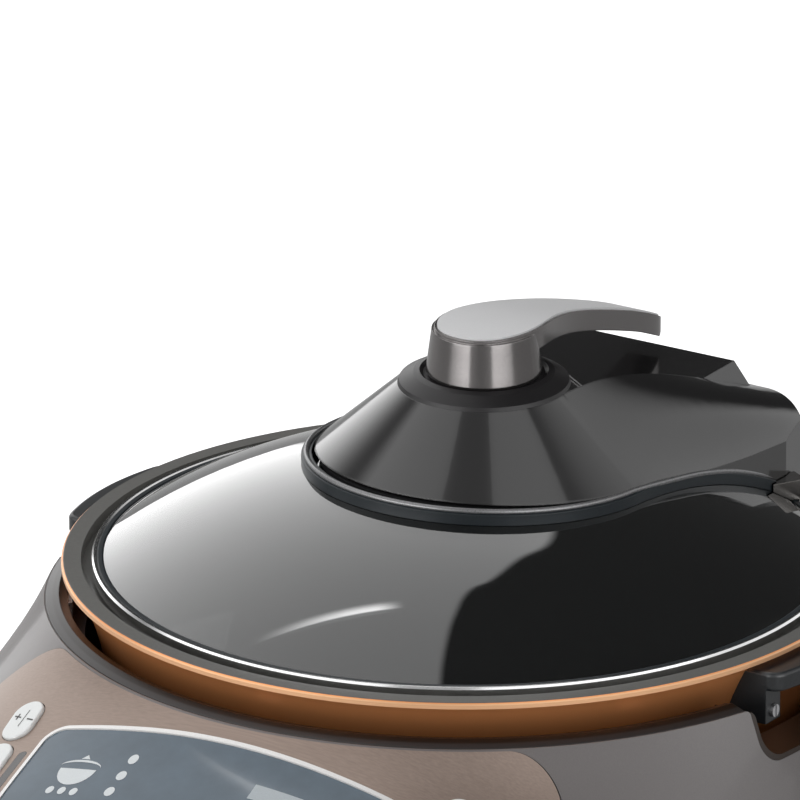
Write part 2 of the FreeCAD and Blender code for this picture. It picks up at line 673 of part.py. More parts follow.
def fairing_form(inset=0.0):
    """Outer form of the fairing, or that form drawn in by a wall."""
    z = RIM_Z - inset
    slope = (CONE_TOP_Z - CONE_FOOT_Z) / (CONE_FOOT_R - CONE_TOP_R)
    foot_z = CONE_FOOT_Z - 6.0 * slope
    cone = turned([
        (0, RIM_Z - 20), (CONE_FOOT_R + 6.0 - inset, RIM_Z - 20), (CONE_FOOT_R + 6.0 - inset, z + foot_z),
        (CONE_TOP_R - inset * 0.4, z + CONE_TOP_Z), (0, z + CONE_TOP_Z),
    ])
    cone.translate(Vector(0, CONE_Y, 0))
    rows = (
        (CONE_Y, foot_z, CONE_TOP_R, CONE_TOP_Z, 18.0, CONE_TOP_Z - 20.0, 0.0),
        (52.0, 26.0, 35.5, 66.5, 17.0, 48.0, 2.0),
        (97.0, 15.0, 41.0, 54.5, 20.0, 44.0, 7.5),
        (141.0, 2.0, 47.0, 37.5, 30.0, 36.0, 12.0),
        (168.0, -4.0, 50.0, 28.5, 34.0, 28.0, 10.5),
    )
    flanks = Part.makeLoft([flank_section(*row, inset) for row in rows], True, False)
    return cone.fuse([flanks, deck_form(inset)]).common(fairing_plan(inset))


def deck_form(inset):
    """Raised deck behind the valley, with slanted sides and a slanted back."""
    spread = (DECK_Z - 10.0) / math.tan(math.radians(DECK_SIDE_SLOPE))
    half = DECK_HALF - inset * 0.5
    top, low = RIM_Z + DECK_Z - inset, RIM_Z + 10.0 - inset
    face = Part.Face(Part.makePolygon([
        Vector(-half, 60, top), Vector(half, 60, top), Vector(half + spread, 60, low),
        Vector(-half - spread, 60, low), Vector(-half, 60, top),
    ]))
    bar = face.extrude(Vector(0, FAIRING_BACK_R - 60.0 + 10.0, 0))
    back = DECK_BACK - inset
    run = (top - low) / math.tan(math.radians(DECK_BACK_SLOPE))
    far = back + 60
    behind = along_x([(back, top), (back + run, low), (far, low), (far, top + 1), (back, top + 1)], -120, 120)
    return bar.cut(behind)


def make_fairing():
    """Moulded cover: cone, shoulders, valley and deck, hollow beneath."""
    shell = fairing_form().cut(fairing_form(FAIRING_T))
    shell = shell.cut(dome(TRIM_H + FIT).common(cylinder(GLASS_R + 1.0, RIM_Z - 40, RIM_Z + 80)))
    shell = shell.cut(cylinder(260, RIM_Z - 40, RIM_Z + SKIRT_Z))
    shell = shell.cut(block(-ARM_HALF - GAP, ARM_HALF + GAP, 130, 200, RIM_Z - 10, RIM_Z + ARM_TOP + GAP))
    shell = shell.cut(cylinder(BOLT_R + FIT, RIM_Z + 50, RIM_Z + 80, 0, CONE_Y))
    for shape in (clip_block(GAP), mirrored(clip_block(GAP))):
        shell = shell.cut(shape)
    return largest(shell)


def largest(shape):
    """The largest solid of a shape."""
    return max(shape.Solids, key=lambda solid: solid.Volume)


def make_trim():
    """Soft trim between the fairing's lower edge and the glass."""
    ring = fairing_plan(-TRIM_PROUD).cut(fairing_plan(TRIM_T))
    ring = ring.common(dome(TRIM_H)).cut(dome(FIT)).common(cylinder(GLASS_R - 1.5, RIM_Z, RIM_Z + 80))
    ring = ring.cut(clip_block(GAP)).cut(mirrored(clip_block(GAP)))
    return largest(ring)


def clip_block(grow=0.0):
    """Space of the right-hand clip that holds the fairing's end to the band."""
    clip = block(-5 - grow, 5 + grow, -8 - grow, 7 + grow, RIM_Z + BAND_UP + FIT - grow, RIM_Z + 9 + grow)
    clip.rotate(Vector(0, 0, 0), Vector(0, 0, 1), -30)
    clip.translate(Vector(CLIP_X, CLIP_Y, 0))
    return clip


def make_clip():
    """Right-hand clip: a folded metal cap with a slot in its face."""
    clip = clip_block()
    slot = block(-3.4, 3.4, -9, 3.0, RIM_Z + 2.0, RIM_Z + 7.4)
    slot.rotate(Vector(0, 0, 0), Vector(0, 0, 1), -30)
    slot.translate(Vector(CLIP_X, CLIP_Y, 0))
    return clip.cut(slot).cut(dome(FIT).common(cylinder(GLASS_R + 1, RIM_Z - 20, RIM_Z + 60)))


def make_frame():
    """Carrier under the fairing: a dished plate on the glass with a boss through its hole."""
    plate = fairing_plan(FAIRING_T + TRIM_T + 1.0).common(dome(FRAME_T)).cut(dome(FIT))
    plate = plate.common(cylinder(GLASS_R - 2.0, RIM_Z, RIM_Z + 80))
    boss = cylinder(BORE_R - GAP, RIM_Z + 34, RIM_Z + DOME_H + 4, 0, CONE_Y)
    tower = cylinder(BOLT_R * 3, RIM_Z + DOME_H - 4, RIM_Z + CONE_TOP_Z - FAIRING_T - FIT, 0, CONE_Y)
    carrier = largest(plate).fuse([boss, tower]).removeSplitter()
    carrier = carrier.cut([clip_block(GAP), mirrored(clip_block(GAP))])
    carrier = carrier.cut(cylinder(BOLT_R + FIT, RIM_Z, RIM_Z + 90, 0, CONE_Y))
    return carrier.cut(clamp_screws(CLAMP_SCREW_R, CLAMP_SCREW_R * 2))


def clamp_screws(shank, head):
    """Three screws that pull the clamp plate up to the carrier."""
    screws = []
    for k in range(3):
        turn = math.radians(90 + 120 * k)
        x, y = 10.0 * math.cos(turn), CONE_Y + 10.0 * math.sin(turn)
        screws.append(cylinder(shank, RIM_Z + 31.5, RIM_Z + 42, x, y))
        screws.append(cylinder(head, RIM_Z + 29.5, RIM_Z + 31.5, x, y))
    return screws[0].fuse(screws[1:]).removeSplitter()


def make_clamp():
    """Round plate that clamps the glass from below."""
    disc = cylinder(CLAMP_R, RIM_Z + 31.5, RIM_Z + 46, 0, CONE_Y).common(dome(-GLASS_T - FIT))
    disc = disc.cut(cylinder(BORE_R - GAP + FIT, RIM_Z + 34 - FIT, RIM_Z + 60, 0, CONE_Y))
    disc = disc.cut(cylinder(CLAMP_R - 4, RIM_Z + 20, RIM_Z + 31.6, 0, CONE_Y))
    return disc.cut(clamp_screws(CLAMP_SCREW_R, CLAMP_SCREW_R * 2))


def make_arm():
    """Hinge arm: a goose neck from the barrel to the carrier, over the pot's flange."""
    y, z = HINGE_Y, RIM_Z - HINGE_DROP
    neck = along_x([
        (y - 6.0, z), (y - 7.5, RIM_Z + 1.8), (GLASS_R + 1.0, RIM_Z + 1.8), (118.0, RIM_Z + 5.0),
        (104.0, RIM_Z + 16.0), (104.0, RIM_Z + 24.0), (118.0, RIM_Z + ARM_TOP), (y - 18.0, RIM_Z + ARM_TOP),
        (y - 3.0, RIM_Z + ARM_TOP - 5.0), (y + 5.0, RIM_Z + 2.0), (y + 7.6, z + 2.0), (y, z),
    ], -ARM_HALF, ARM_HALF)
    barrel = cross_cylinder(BARREL_R, -ARM_HALF, ARM_HALF, y, z)
    arm = neck.fuse(barrel).removeSplitter()
    arm = arm.cut(dome(FRAME_T + FIT).common(cylinder(GLASS_R - 1.0, 0, RIM_Z + 90)))
    for side in (-1, 1):
        arm = arm.cut(block(side * 21 - 9, side * 21 + 9, 112, y - 22, RIM_Z + 6.0, RIM_Z + 60))
    return arm.cut(cross_cylinder(PIN_R + RUN, -ARM_HALF - 1, ARM_HALF + 1, y, z))


def make_hinge_block():
    """Hinge housing: two ears on a foot that is bolted to the shell's back deck."""
    y, z = HINGE_Y, RIM_Z - HINGE_DROP
    inner, outer = ARM_HALF + EAR_GAP, ARM_HALF + EAR_GAP + EAR_T
    ears = []
    for side in (-1, 1):
        left, right = sorted((side * inner, side * outer))
        ear = cross_cylinder(BARREL_R + 1.0, left, right, y, z)
        post = along_x([(y - 9.5, z), (y + 9.5, z), (y + 12.0, z - 45), (y - 12.0, z - 45)], left, right)
        ears += [ear, post]
    foot = block(-outer, outer, LIP_R + 1.5, y + 12.0, z - 45, z - BARREL_R - 2.5)
    housing = ears[0].fuse(ears[1:] + [foot]).removeSplitter()
    raised = BODY.copy()
    raised.translate(Vector(0, 0, FIT))
    housing = housing.cut(raised).cut(cylinder(LIP_R + 0.5, 0, RIM_Z + 50))
    housing = housing.cut(cross_cylinder(PIN_R + RUN, -outer - 1, outer + 1, y, z))
    return largest(housing.cut(hinge_screws(SCREW_R * 0.6, SCREW_R)))


def hinge_screws(shank, head):
    """Two screws up through the shell's bosses into the hinge housing."""
    screws = []
    foot = RIM_Z - HINGE_BOSS_LOW
    for x in (-HINGE_SCREW_X, HINGE_SCREW_X):
        screws.append(cylinder(shank, foot, RIM_Z - 24, x, HINGE_Y))
        screws.append(cylinder(head, foot - 2.4, foot, x, HINGE_Y))
    return screws[0].fuse(screws[1:]).removeSplitter()


def make_pin():
    """Hinge pin with a shallow head at each end."""
    reach = ARM_HALF + EAR_GAP + EAR_T
    y, z = HINGE_Y, RIM_Z - HINGE_DROP
    pin = cross_cylinder(PIN_R, -reach, reach, y, z)
    heads = [cross_cylinder(PIN_R + 1.5, reach, reach + 1.2, y, z)]
    heads.append(cross_cylinder(PIN_R + 1.5, -reach - 1.2, -reach, y, z))
    return pin.fuse(heads).removeSplitter()


def make_collar():
    """Black ring that carries the knob, dished on top."""
    z = RIM_Z + CONE_TOP_Z
    ring = turned([
        (BOLT_R + FIT, z), (CONE_TOP_R, z), (CONE_TOP_R - 0.6, z + 1.6),
        (COLLAR_TOP_R + 4.0, z + COLLAR_H - 0.8), (COLLAR_TOP_R + 1.5, z + COLLAR_H),
        (COLLAR_TOP_R, z + COLLAR_H - 1.2), (BOLT_R + FIT, z + COLLAR_H - 1.2),
    ])
    ring.translate(Vector(0, CONE_Y, 0))
    return ring


def lever_plan(inset=0.0):
    """Plan of knob and lever as an upright prism: a round that runs out into a tail."""
    r = KNOB_TOP_R - inset
    right = [Vector(0, CONE_Y - r, 0), Vector(r * 0.707, CONE_Y - r * 0.707, 0)]
    right += [Vector(half - inset, CONE_Y + along, 0) for along, half in LEVER_HALVES]
    tip = Vector(0, CONE_Y + LEVER_TIP - inset, 0)
    left = [Vector(-p.x, p.y, 0) for p in right[:0:-1]]
    return upright(closed_curve(right + [tip] + left), RIM_Z, RIM_Z + 130)


def lever_band(upper, lower):
    """Slab between two depths under the lever's curved top."""
    high = smooth_edge([Vector(0, CONE_Y + s, RIM_Z + z - upper) for s, z in LEVER_TOPS])
    low = smooth_edge([Vector(0, CONE_Y + s, RIM_Z + z - lower) for s, z in LEVER_TOPS])
    ends = [high.Vertexes[0].Point, high.Vertexes[-1].Point, low.Vertexes[0].Point, low.Vertexes[-1].Point]
    edges = [high, low, Part.makeLine(ends[0], ends[2]), Part.makeLine(ends[1], ends[3])]
    face = Part.Face(Part.Wire(Part.sortEdges(edges)[0]))
    face.translate(Vector(-60, 0, 0))
    return face.extrude(Vector(120, 0, 0))


def tip_cutter():
    """Space under the lever's tip, which turns its end up in a curve."""
    curve = [(114.0, 47.5), (121.0, 51.0), (127.0, 52.6), (131.5, 55.0), (134.5, 60.0)]
    edge = smooth_edge([Vector(-60, CONE_Y + s, RIM_Z + z) for s, z in curve])
    start, end = edge.Vertexes[0].Point, edge.Vertexes[-1].Point
    low_start, low_end = Vector(-60, start.y, RIM_Z), Vector(-60, end.y + 30, RIM_Z)
    sides = Part.makePolygon([end, Vector(-60, end.y + 30, end.z), low_end, low_start, start])
    face = Part.Face(Part.Wire(Part.sortEdges([edge] + sides.Edges)[0]))
    return face.extrude(Vector(120, 0, 0))


def make_knob():
    """Knob and lever in one casting, under the top plate."""
    foot = RIM_Z + CONE_TOP_Z + COLLAR_H - 1.2
    stem = turned([(0, foot), (KNOB_FOOT_R - 0.8, foot), (KNOB_FOOT_R, foot + 1.5),
                   (KNOB_TOP_R, foot + KNOB_H + 6.0), (0, foot + KNOB_H + 6.0)])
    stem.translate(Vector(0, CONE_Y, 0))
    under = lever_band(PLATE_T, 60.0)
    stem = stem.common(under)
    lever = lever_plan().common(lever_band(PLATE_T, LEVER_T + PLATE_T)).cut(tip_cutter())
    knob = stem.fuse(lever).removeSplitter()
    rim = lever_plan().cut(lever_plan(PLATE_INSET)).common(lever_band(PLATE_T - 1.4, PLATE_T))
    knob = knob.fuse(rim).removeSplitter()
    return knob.cut(cylinder(BOLT_R * 0.8, RIM_Z, foot + KNOB_H - 8, 0, CONE_Y))


def make_top_plate():
    """Pale plate let into the top of knob and lever."""
    return lever_plan(PLATE_INSET + FIT).common(lever_band(0.0, PLATE_T)).cut(tip_cutter())


def make_bolt():
    """Bolt that holds knob and collar to the carrier."""
    low = RIM_Z + 46.0
    bolt = cylinder(BOLT_R, low, RIM_Z + CONE_TOP_Z + COLLAR_H - 1.2, 0, CONE_Y)
    neck = cylinder(BOLT_R * 0.8 - FIT, low, RIM_Z + CONE_TOP_Z + COLLAR_H + 8, 0, CONE_Y)
    return bolt.fuse(neck).removeSplitter()


def make_heating_plate():
    """Cast heating plate with a groove for the element and a hole for the sensor."""
    top = RIM_Z - POT_DEPTH
    plate = turned([
        (SENSOR_R + 2.0, top - PLATE_H), (PLATE_R - 3.0, top - PLATE_H), (PLATE_R, top - PLATE_H + 3.0),
        (PLATE_R, top - 0.8), (PLATE_R - 0.8, top), (SENSOR_R + 2.0, top),
    ])
    return plate.cut(element_ring(ELEMENT_TUBE + FIT))


def element_ring(tube):
    """Ring of the tubular element, half let into the plate's underside."""
    low = RIM_Z - POT_DEPTH - PLATE_H
    ring = Part.makeTorus(ELEMENT_R, tube, Vector(0, 0, low), Vector(0, 0, 1))
    return ring


def terminal_places():
    """Places of the element's two terminals."""
    turns = (math.radians(255), math.radians(285))
    return [(ELEMENT_R * math.cos(t), ELEMENT_R * math.sin(t)) for t in turns]


def make_element():
    """Tubular element with its two terminals down through the well floor."""
    low = RIM_Z - POT_DEPTH - PLATE_H
    pins = [cylinder(TERMINAL_R, RIM_Z - WELL_FLOOR - 12, low, x, y) for x, y in terminal_places()]
    return element_ring(ELEMENT_TUBE).fuse(pins).removeSplitter()


def make_plate_posts():
    """Three posts between the heating plate and the well floor."""
    posts = []
    for k in range(3):
        turn = math.radians(90 + 120 * k)
        x, y = (PLATE_R - 9) * math.cos(turn), (PLATE_R - 9) * math.sin(turn)
        posts.append(cylinder(4.5, RIM_Z - WELL_FLOOR, RIM_Z - POT_DEPTH - PLATE_H, x, y))
    return Part.makeCompound(posts)


def make_sensor():
    """Sprung sensor cap that presses on the pot's floor, with its guide stem."""
    top = RIM_Z - POT_DEPTH - FIT
    return turned([
        (0, top), (SENSOR_R - 1.0, top), (SENSOR_R, top - 1.0), (SENSOR_R, top - 7.0), (STEM_R, top - 7.0),
        (STEM_R, RIM_Z - WELL_FLOOR - 8.0), (0, RIM_Z - WELL_FLOOR - 8.0),
    ])


def make_sensor_spring():
    """Spring under the sensor cap, as its closed outer shape."""
    low = RIM_Z - WELL_FLOOR
    top = RIM_Z - POT_DEPTH - FIT - 7.0 - SENSOR_TRAVEL - GAP
    return turned([(STEM_R + 1.2, low), (STEM_R + 3.4, low), (STEM_R + 3.4, top), (STEM_R + 1.2, top)])


def make_base():
    """Base plate with rows of vents."""
    row = body_levels()[-1]
    plate = upright(body_outline(row, 2.0, 0.0), FOOT_H, BASE_Z)
    slots = []
    for k in range(-5, 6):
        slots.append(block(k * 14.0 - 2.5, k * 14.0 + 2.5, -70, 70, 0, 30))
    plate = plate.cut(slots)
    return plate.cut(base_screws(SCREW_R * 0.6, SCREW_R, GAP))


def foot_places():
    """Places of the four feet."""
    return [(x, y) for x in (-FOOT_X, FOOT_X) for y in (-FOOT_FRONT, FOOT_BACK)]


def make_feet():
    """Four soft feet."""
    feet = []
    for x, y in foot_places():
        foot = turned([(0, 0), (FOOT_R - 1.5, 0), (FOOT_R, 1.5), (FOOT_R, FOOT_H), (0, FOOT_H)])
        foot.translate(Vector(x, y, 0))
        feet.append(foot)
    return Part.makeCompound(feet)


def base_screws(shank, head, grow=0.0):
    """Six screws up through the base plate into the bosses of the shell."""
    screws = []
    for x, y in boss_places():
        screws.append(cylinder(head + grow, FOOT_H - 0.1, FOOT_H + 2.0, x, y))
        screws.append(cylinder(shank + grow, FOOT_H, BASE_Z + 10.0, x, y))
    return screws[0].fuse(screws[1:]).removeSplitter()


def boss_places():
    """Places of the shell's screw bosses."""
    foot = body_levels()[-1]
    points = [outline_point(foot, BOSS_INSET, math.radians(turn)) for turn in BOSS_TURNS]
    return [(point.x, point.y) for point in points]


def rim_clip(turn):
    """Folded sheet clip over the well's edge at a turn from the right."""
    out = OPENING_R - 1.0 - RING_T - FIT
    edge, low, fold = LIP_Z - 2.0, RIM_Z - WELL_STEP_1 + GAP, RIM_CLIP_T
    inner = out - WELL_T - FIT
    clip = turned([
        (inner - fold, low), (inner, low), (inner, edge + FIT), (out, edge + FIT),
        (out, edge + FIT + fold), (inner - fold, edge + FIT + fold),
    ])
    clip = clip.common(block(-RIM_CLIP_HALF, RIM_CLIP_HALF, -LIP_R, -WELL_R, 0, RIM_Z))
    clip.rotate(Vector(0, 0, 0), Vector(0, 0, 1), turn + 90)
    return clip


def make_rim_clips():
    """The clips that centre the pot in the well."""
    return Part.makeCompound([rim_clip(turn) for turn in RIM_CLIP_TURNS])


def inlet_block(grow=0.0):
    """Space of the mains inlet in the back wall."""
    back = BACK_REACH + 6.0
    return block(-INLET_HALF - grow, INLET_HALF + grow, BACK_REACH - 26, back,
                 INLET_Z - INLET_H / 2 - grow, INLET_Z + INLET_H / 2 + grow)


def make_inlet():
    """Mains inlet: a recessed socket with three blades."""
    socket = inlet_block().common(body_form(1.2, 0.0))
    well = block(-INLET_HALF + 2, INLET_HALF - 2, BACK_REACH - 18, BACK_REACH + 10,
                 INLET_Z - INLET_H / 2 + 2, INLET_Z + INLET_H / 2 - 2)
    socket = socket.cut(well)
    blades = []
    for x, z in ((-7.0, -2.0), (0.0, 3.0), (7.0, -2.0)):
        blades.append(block(x - 1, x + 1, BACK_REACH - 20, BACK_REACH - 6, INLET_Z + z - 2, INLET_Z + z + 2))
    flange = block(-INLET_HALF - 5, INLET_HALF + 5, BACK_REACH - 26, BACK_REACH - 23,
                   INLET_Z - INLET_H / 2 - 5, INLET_Z + INLET_H / 2 + 5)
    return socket.fuse(blades + [flange]).removeSplitter()


def make_power_board():
    """Power board on four posts over the base plate."""
    board = block(-60, 60, 20, 100, BASE_Z + 8, BASE_Z + 10)
    parts = [cylinder(3.5, BASE_Z, BASE_Z + 8, x, y) for x in (-54, 54) for y in (26, 94)]
    parts += [cylinder(8, BASE_Z + 10, BASE_Z + 30, -30, 60), block(5, 30, 40, 80, BASE_Z + 10, BASE_Z + 24)]
    return board.fuse(parts).removeSplitter()


save("body_shell", make_body())
save("front_panel", make_panel())
save("display_frame", make_bezel())
save("display_window", make_screen())
save("panel_lens", make_lens())
for row, place in zip(("upper", "lower"), BUTTON_PLACES):
    button = make_button(place)
    save("button_right_" + row, button)
    save("button_left_" + row, mirrored(button))
save("well_ring", make_ring())
save("well_liner", make_well())
save("rim_clips", make_rim_clips())
save("pocket_right", make_pocket())
save("pocket_left", mirrored(make_pocket()))
save("pot", make_pot())
save("pot_handle_right", make_handle())
save("pot_handle_left", mirrored(make_handle()))
save("pot_handle_screws", make_handle_screws())
save("lid_glass", make_glass())
save("lid_seal", make_seal())
save("lid_band", make_band())
save("lid_fairing", make_fairing())
save("fairing_trim", make_trim())
save("fairing_clip_right", make_clip())
save("fairing_clip_left", mirrored(make_clip()))
save("lid_carrier", make_frame())
save("clamp_plate", make_clamp())
save("clamp_screws", clamp_screws(CLAMP_SCREW_R - FIT, CLAMP_SCREW_R * 2 - FIT))
save("hinge_arm", make_arm())
save("hinge_housing", make_hinge_block())
save("hinge_pin", make_pin())
save("hinge_screws", hinge_screws(SCREW_R * 0.6, SCREW_R))
save("knob_collar", make_collar())
save("knob_lever", make_knob())
save("lever_top_plate", make_top_plate())
save("knob_bolt", make_bolt())
save("heating_plate", make_heating_plate())
save("heating_element", make_element())
save("plate_posts", make_plate_posts())
save("sensor_plunger", make_sensor())
save("sensor_spring", make_sensor_spring())
save("base_plate", make_base())
save("feet", make_feet())
save("base_screws", base_screws(SCREW_R * 0.6, SCREW_R))
save("mains_inlet", make_inlet())
save("power_board", make_power_board())
save("control_board", make_control_board())
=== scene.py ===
import math

import bmesh
import bpy
from mathutils import Matrix, Vector
from mathutils.bvhtree import BVHTree
from mathutils.geometry import tessellate_polygon


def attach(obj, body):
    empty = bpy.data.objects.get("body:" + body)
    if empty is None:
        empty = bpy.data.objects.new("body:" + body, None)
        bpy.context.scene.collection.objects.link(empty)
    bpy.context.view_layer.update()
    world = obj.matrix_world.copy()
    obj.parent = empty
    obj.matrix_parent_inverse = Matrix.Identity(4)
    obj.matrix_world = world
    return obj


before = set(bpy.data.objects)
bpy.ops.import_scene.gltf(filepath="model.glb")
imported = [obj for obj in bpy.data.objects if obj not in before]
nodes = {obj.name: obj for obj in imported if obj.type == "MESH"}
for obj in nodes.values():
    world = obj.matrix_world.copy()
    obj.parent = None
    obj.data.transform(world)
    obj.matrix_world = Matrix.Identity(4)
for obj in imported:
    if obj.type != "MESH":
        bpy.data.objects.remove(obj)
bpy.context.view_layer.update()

scene = bpy.context.scene
scene.view_settings.view_transform = "Standard"


# Camera. It stands in front and to the right of the cooker and looks down on the lid,
# with a long lens. The middle of the picture lies left of the lid's middle and above it.
RIM_Z = 0.190
POT_Y = 0.0405
VIEW_TURN = math.radians(32.0)
VIEW_RISE = math.radians(20.5)
VIEW_DISTANCE = 8.0
PICTURE_WIDTH = 0.3228
SENSOR_WIDTH = 36.0
FAR_CLIP = 50.0
AIM_RIGHT = -0.0262
AIM_UP = 0.0621

turn_sin, turn_cos = math.sin(VIEW_TURN), math.cos(VIEW_TURN)
toward = Vector((turn_sin * math.cos(VIEW_RISE), -turn_cos * math.cos(VIEW_RISE), math.sin(VIEW_RISE)))
view_right = Vector((turn_cos, turn_sin, 0.0))
view_up = toward.cross(view_right)
aim = Vector((0.0, POT_Y, RIM_Z)) + view_right * AIM_RIGHT + view_up * AIM_UP
lens = bpy.data.cameras.new("camera")
lens.sensor_width = SENSOR_WIDTH
lens.lens = lens.sensor_width * VIEW_DISTANCE / PICTURE_WIDTH
lens.clip_end = FAR_CLIP
camera = bpy.data.objects.new("camera", lens)
camera.location = aim + toward * VIEW_DISTANCE
camera.rotation_euler = (-toward).to_track_quat("-Z", "Y").to_euler()
scene.collection.objects.link(camera)
scene.camera = camera


# Floor and studio. A plain pale floor in a pale room, with a large soft light on the left,
# a weaker one in front, and two bright cards that only the gloss parts reflect. Gloss
# parts also see dark parts of the room: right and behind, a wedge on the left, a front gap.
def blank_material(name):
    """Material with a principled surface, and its nodes and links."""
    material = bpy.data.materials.new(name)
    material.use_nodes = True
    tree = material.node_tree
    return material, tree, tree.nodes["Principled BSDF"]


def add(tree, kind, **values):
    """New shader node with values for its properties and named or numbered inputs."""
    node = tree.nodes.new("ShaderNode" + kind)
    for key, value in values.items():
        if key.startswith("in_"):
            slot = key[3:]
            node.inputs[int(slot) if slot.isdigit() else slot.replace("_", " ")].default_value = value
        else:
            setattr(node, key, value)
    return node


def linked(obj, material):
    """Link a new object to the scene and give it its material."""
    obj.data.materials.append(material)
    scene.collection.objects.link(obj)
    return obj


FLOOR_COLOUR = (0.86, 0.86, 0.86)
FLOOR_ROUGH = 0.9
FLOOR_GLOW = 0.9
FLOOR_HALF = 6.0
FLOOR_DROP = 0.0002

floor_material, tree, shader = blank_material("floor_paint")
shader.inputs["Base Color"].default_value = (*FLOOR_COLOUR, 1.0)
shader.inputs["Roughness"].default_value = FLOOR_ROUGH
shader.inputs["Specular IOR Level"].default_value = 0.0
shader.inputs["Emission Color"].default_value = (1, 1, 1, 1)
rays = add(tree, "LightPath")
seen = add(tree, "Math", operation="MULTIPLY", in_1=FLOOR_GLOW)
tree.links.new(rays.outputs["Is Camera Ray"], seen.inputs[0])
tree.links.new(seen.outputs[0], shader.inputs["Emission Strength"])
corners = [(x * FLOOR_HALF, y * FLOOR_HALF, 0) for x, y in ((-1, -1), (1, -1), (1, 1), (-1, 1))]
floor_sheet = bpy.data.meshes.new("floor")
floor_sheet.from_pydata(corners, [], [(0, 1, 2, 3)])
floor = linked(bpy.data.objects.new("floor", floor_sheet), floor_material)
floor.location.z = -FLOOR_DROP

ROOM_FILL = 0.36
ROOM_LOW = 1.9
ROOM_HIGH = 1.1
ROOM_DARK = 0.04
LEVEL_FROM = 0.1
GLOW_LEVEL = 6.0
# Where the dark half of the room starts, as its share to the right at each share to the back.
DARK_EDGE = ((0.0, -0.06), (0.05, -0.06), (0.24, -0.04), (0.34, -0.02), (0.43, 0.01), (0.47, 0.05),
             (0.56, 0.10), (0.65, 0.15), (0.74, 0.13), (0.84, -0.08), (1.0, -0.09))
EDGE_SPAN = 0.3
EDGE_BLUR = 0.012
FAR_RIGHT = (0.50, 0.68)
FAR_SHARE = 0.45
BACK_FROM = (0.0, 0.03)
# The dark wedge on the left: how it slants, where it starts, and how it fades to the back.
WEDGE_SLANT = 0.51
WEDGE_EDGE = (-0.32, -0.30)
WEDGE_FADE_IN = (0.25, 0.45)
WEDGE_FADE_OUT = (0.45, 0.85)
WEDGE_SHARE = 0.9
# The dark gap in front: its left side, its right side, where it ends, and its level.
GAP_LEFT = (-0.30, -0.28)
GAP_RIGHT = (0.05, 0.07)
GAP_END = (-0.03, -0.01)
GAP_LEVEL = 0.25
# The bright crescent: the directions of its ends, its width, and where it fades.
GLOW_START = (-0.43, 0.37, 0.82)
GLOW_END = (-0.17, 0.38, 0.91)
GLOW_OUTER = (0.0, 0.035)
GLOW_INNER = (-0.008, 0.0)
GLOW_LEFT = (-0.45, -0.20)
GLOW_RIGHT = (-0.19, -0.12)
GLOW_BACK = (0.2, 0.3)

view_back = Vector((-turn_sin, turn_cos, 0.0))
world = bpy.data.worlds.new("studio")
scene.world = world
world.use_nodes = True
sky = world.node_tree
ground = sky.nodes["Background"]
ground.inputs["Color"].default_value = (1, 1, 1, 1)
seen_from = add(sky, "TexCoord")


def share(direction):
    """How far a ray goes along one direction, from -1 to 1."""
    node = add(sky, "VectorMath", operation="DOT_PRODUCT", in_1=tuple(direction))
    sky.links.new(seen_from.outputs["Generated"], node.inputs[0])
    return node.outputs["Value"]


def ease(value, span, low=0.0, high=1.0):
    """Smooth step of a value, from low where the span starts to high where it ends."""
    node = add(sky, "MapRange", interpolation_type="SMOOTHSTEP", in_3=low, in_4=high)
    node.inputs[1].default_value, node.inputs[2].default_value = span
    sky.links.new(value, node.inputs[0])
    return node.outputs[0]


def combine(operation, first, second):
    """Sum, product or other result of two values, either of which may be a plain number."""
    node = add(sky, "Math", operation=operation)
    for slot, value in enumerate((first, second)):
        if isinstance(value, float):
            node.inputs[slot].default_value = value
        else:
            sky.links.new(value, node.inputs[slot])
    return node.outputs[0]


def curve_points(node, wanted):
    """Lay a curve node through the points wanted."""
    curve = node.mapping.curves[0]
    curve.points[0].location, curve.points[1].location = wanted[0], wanted[-1]
    for point in wanted[1:-1]:
        curve.points.new(*point)
    node.mapping.update()


to_right, to_back, to_top = share(view_right), share(view_back), share((0, 0, 1))
edge = add(sky, "FloatCurve")
curve_points(edge, [(back, 0.5 + start / (2 * EDGE_SPAN)) for back, start in DARK_EDGE])
sky.links.new(to_back, edge.inputs["Value"])
edge_at = combine("MULTIPLY", combine("SUBTRACT", edge.outputs[0], 0.5), 2 * EDGE_SPAN)
past_edge = ease(combine("SUBTRACT", to_right, edge_at), (-EDGE_BLUR, EDGE_BLUR))
far_right = ease(to_right, FAR_RIGHT, 1.0, FAR_SHARE)
dark_back = combine("MULTIPLY", combine("MULTIPLY", past_edge, far_right), ease(to_back, BACK_FROM))
slant = combine("ADD", to_right, combine("MULTIPLY", to_top, WEDGE_SLANT))
wedge = combine("MULTIPLY", ease(slant, WEDGE_EDGE, 1.0, 0.0), ease(to_back, WEDGE_FADE_OUT, 1.0, 0.0))
dark_left = combine("MULTIPLY", combine("MULTIPLY", wedge, ease(to_back, WEDGE_FADE_IN)), WEDGE_SHARE)
gap = combine("MULTIPLY", ease(to_right, GAP_LEFT), ease(to_right, GAP_RIGHT, 1.0, 0.0))
gap = combine("MULTIPLY", gap, ease(to_back, GAP_END, 1.0 - GAP_LEVEL, 0.0))
open_share = combine("SUBTRACT", 1.0, combine("MAXIMUM", combine("MAXIMUM", dark_back, dark_left), gap))
level = add(sky, "MapRange", in_1=LEVEL_FROM, in_2=1.0, in_3=ROOM_LOW, in_4=ROOM_HIGH)
sky.links.new(to_top, level.inputs[0])
bright = combine("ADD", combine("MULTIPLY", open_share, level.outputs[0]), ROOM_DARK)


def room_direction(right, back, up):
    """Direction in the room, from its shares to the right, to the back and up."""
    return (view_right * right + view_back * back + Vector((0, 0, up))).normalized()


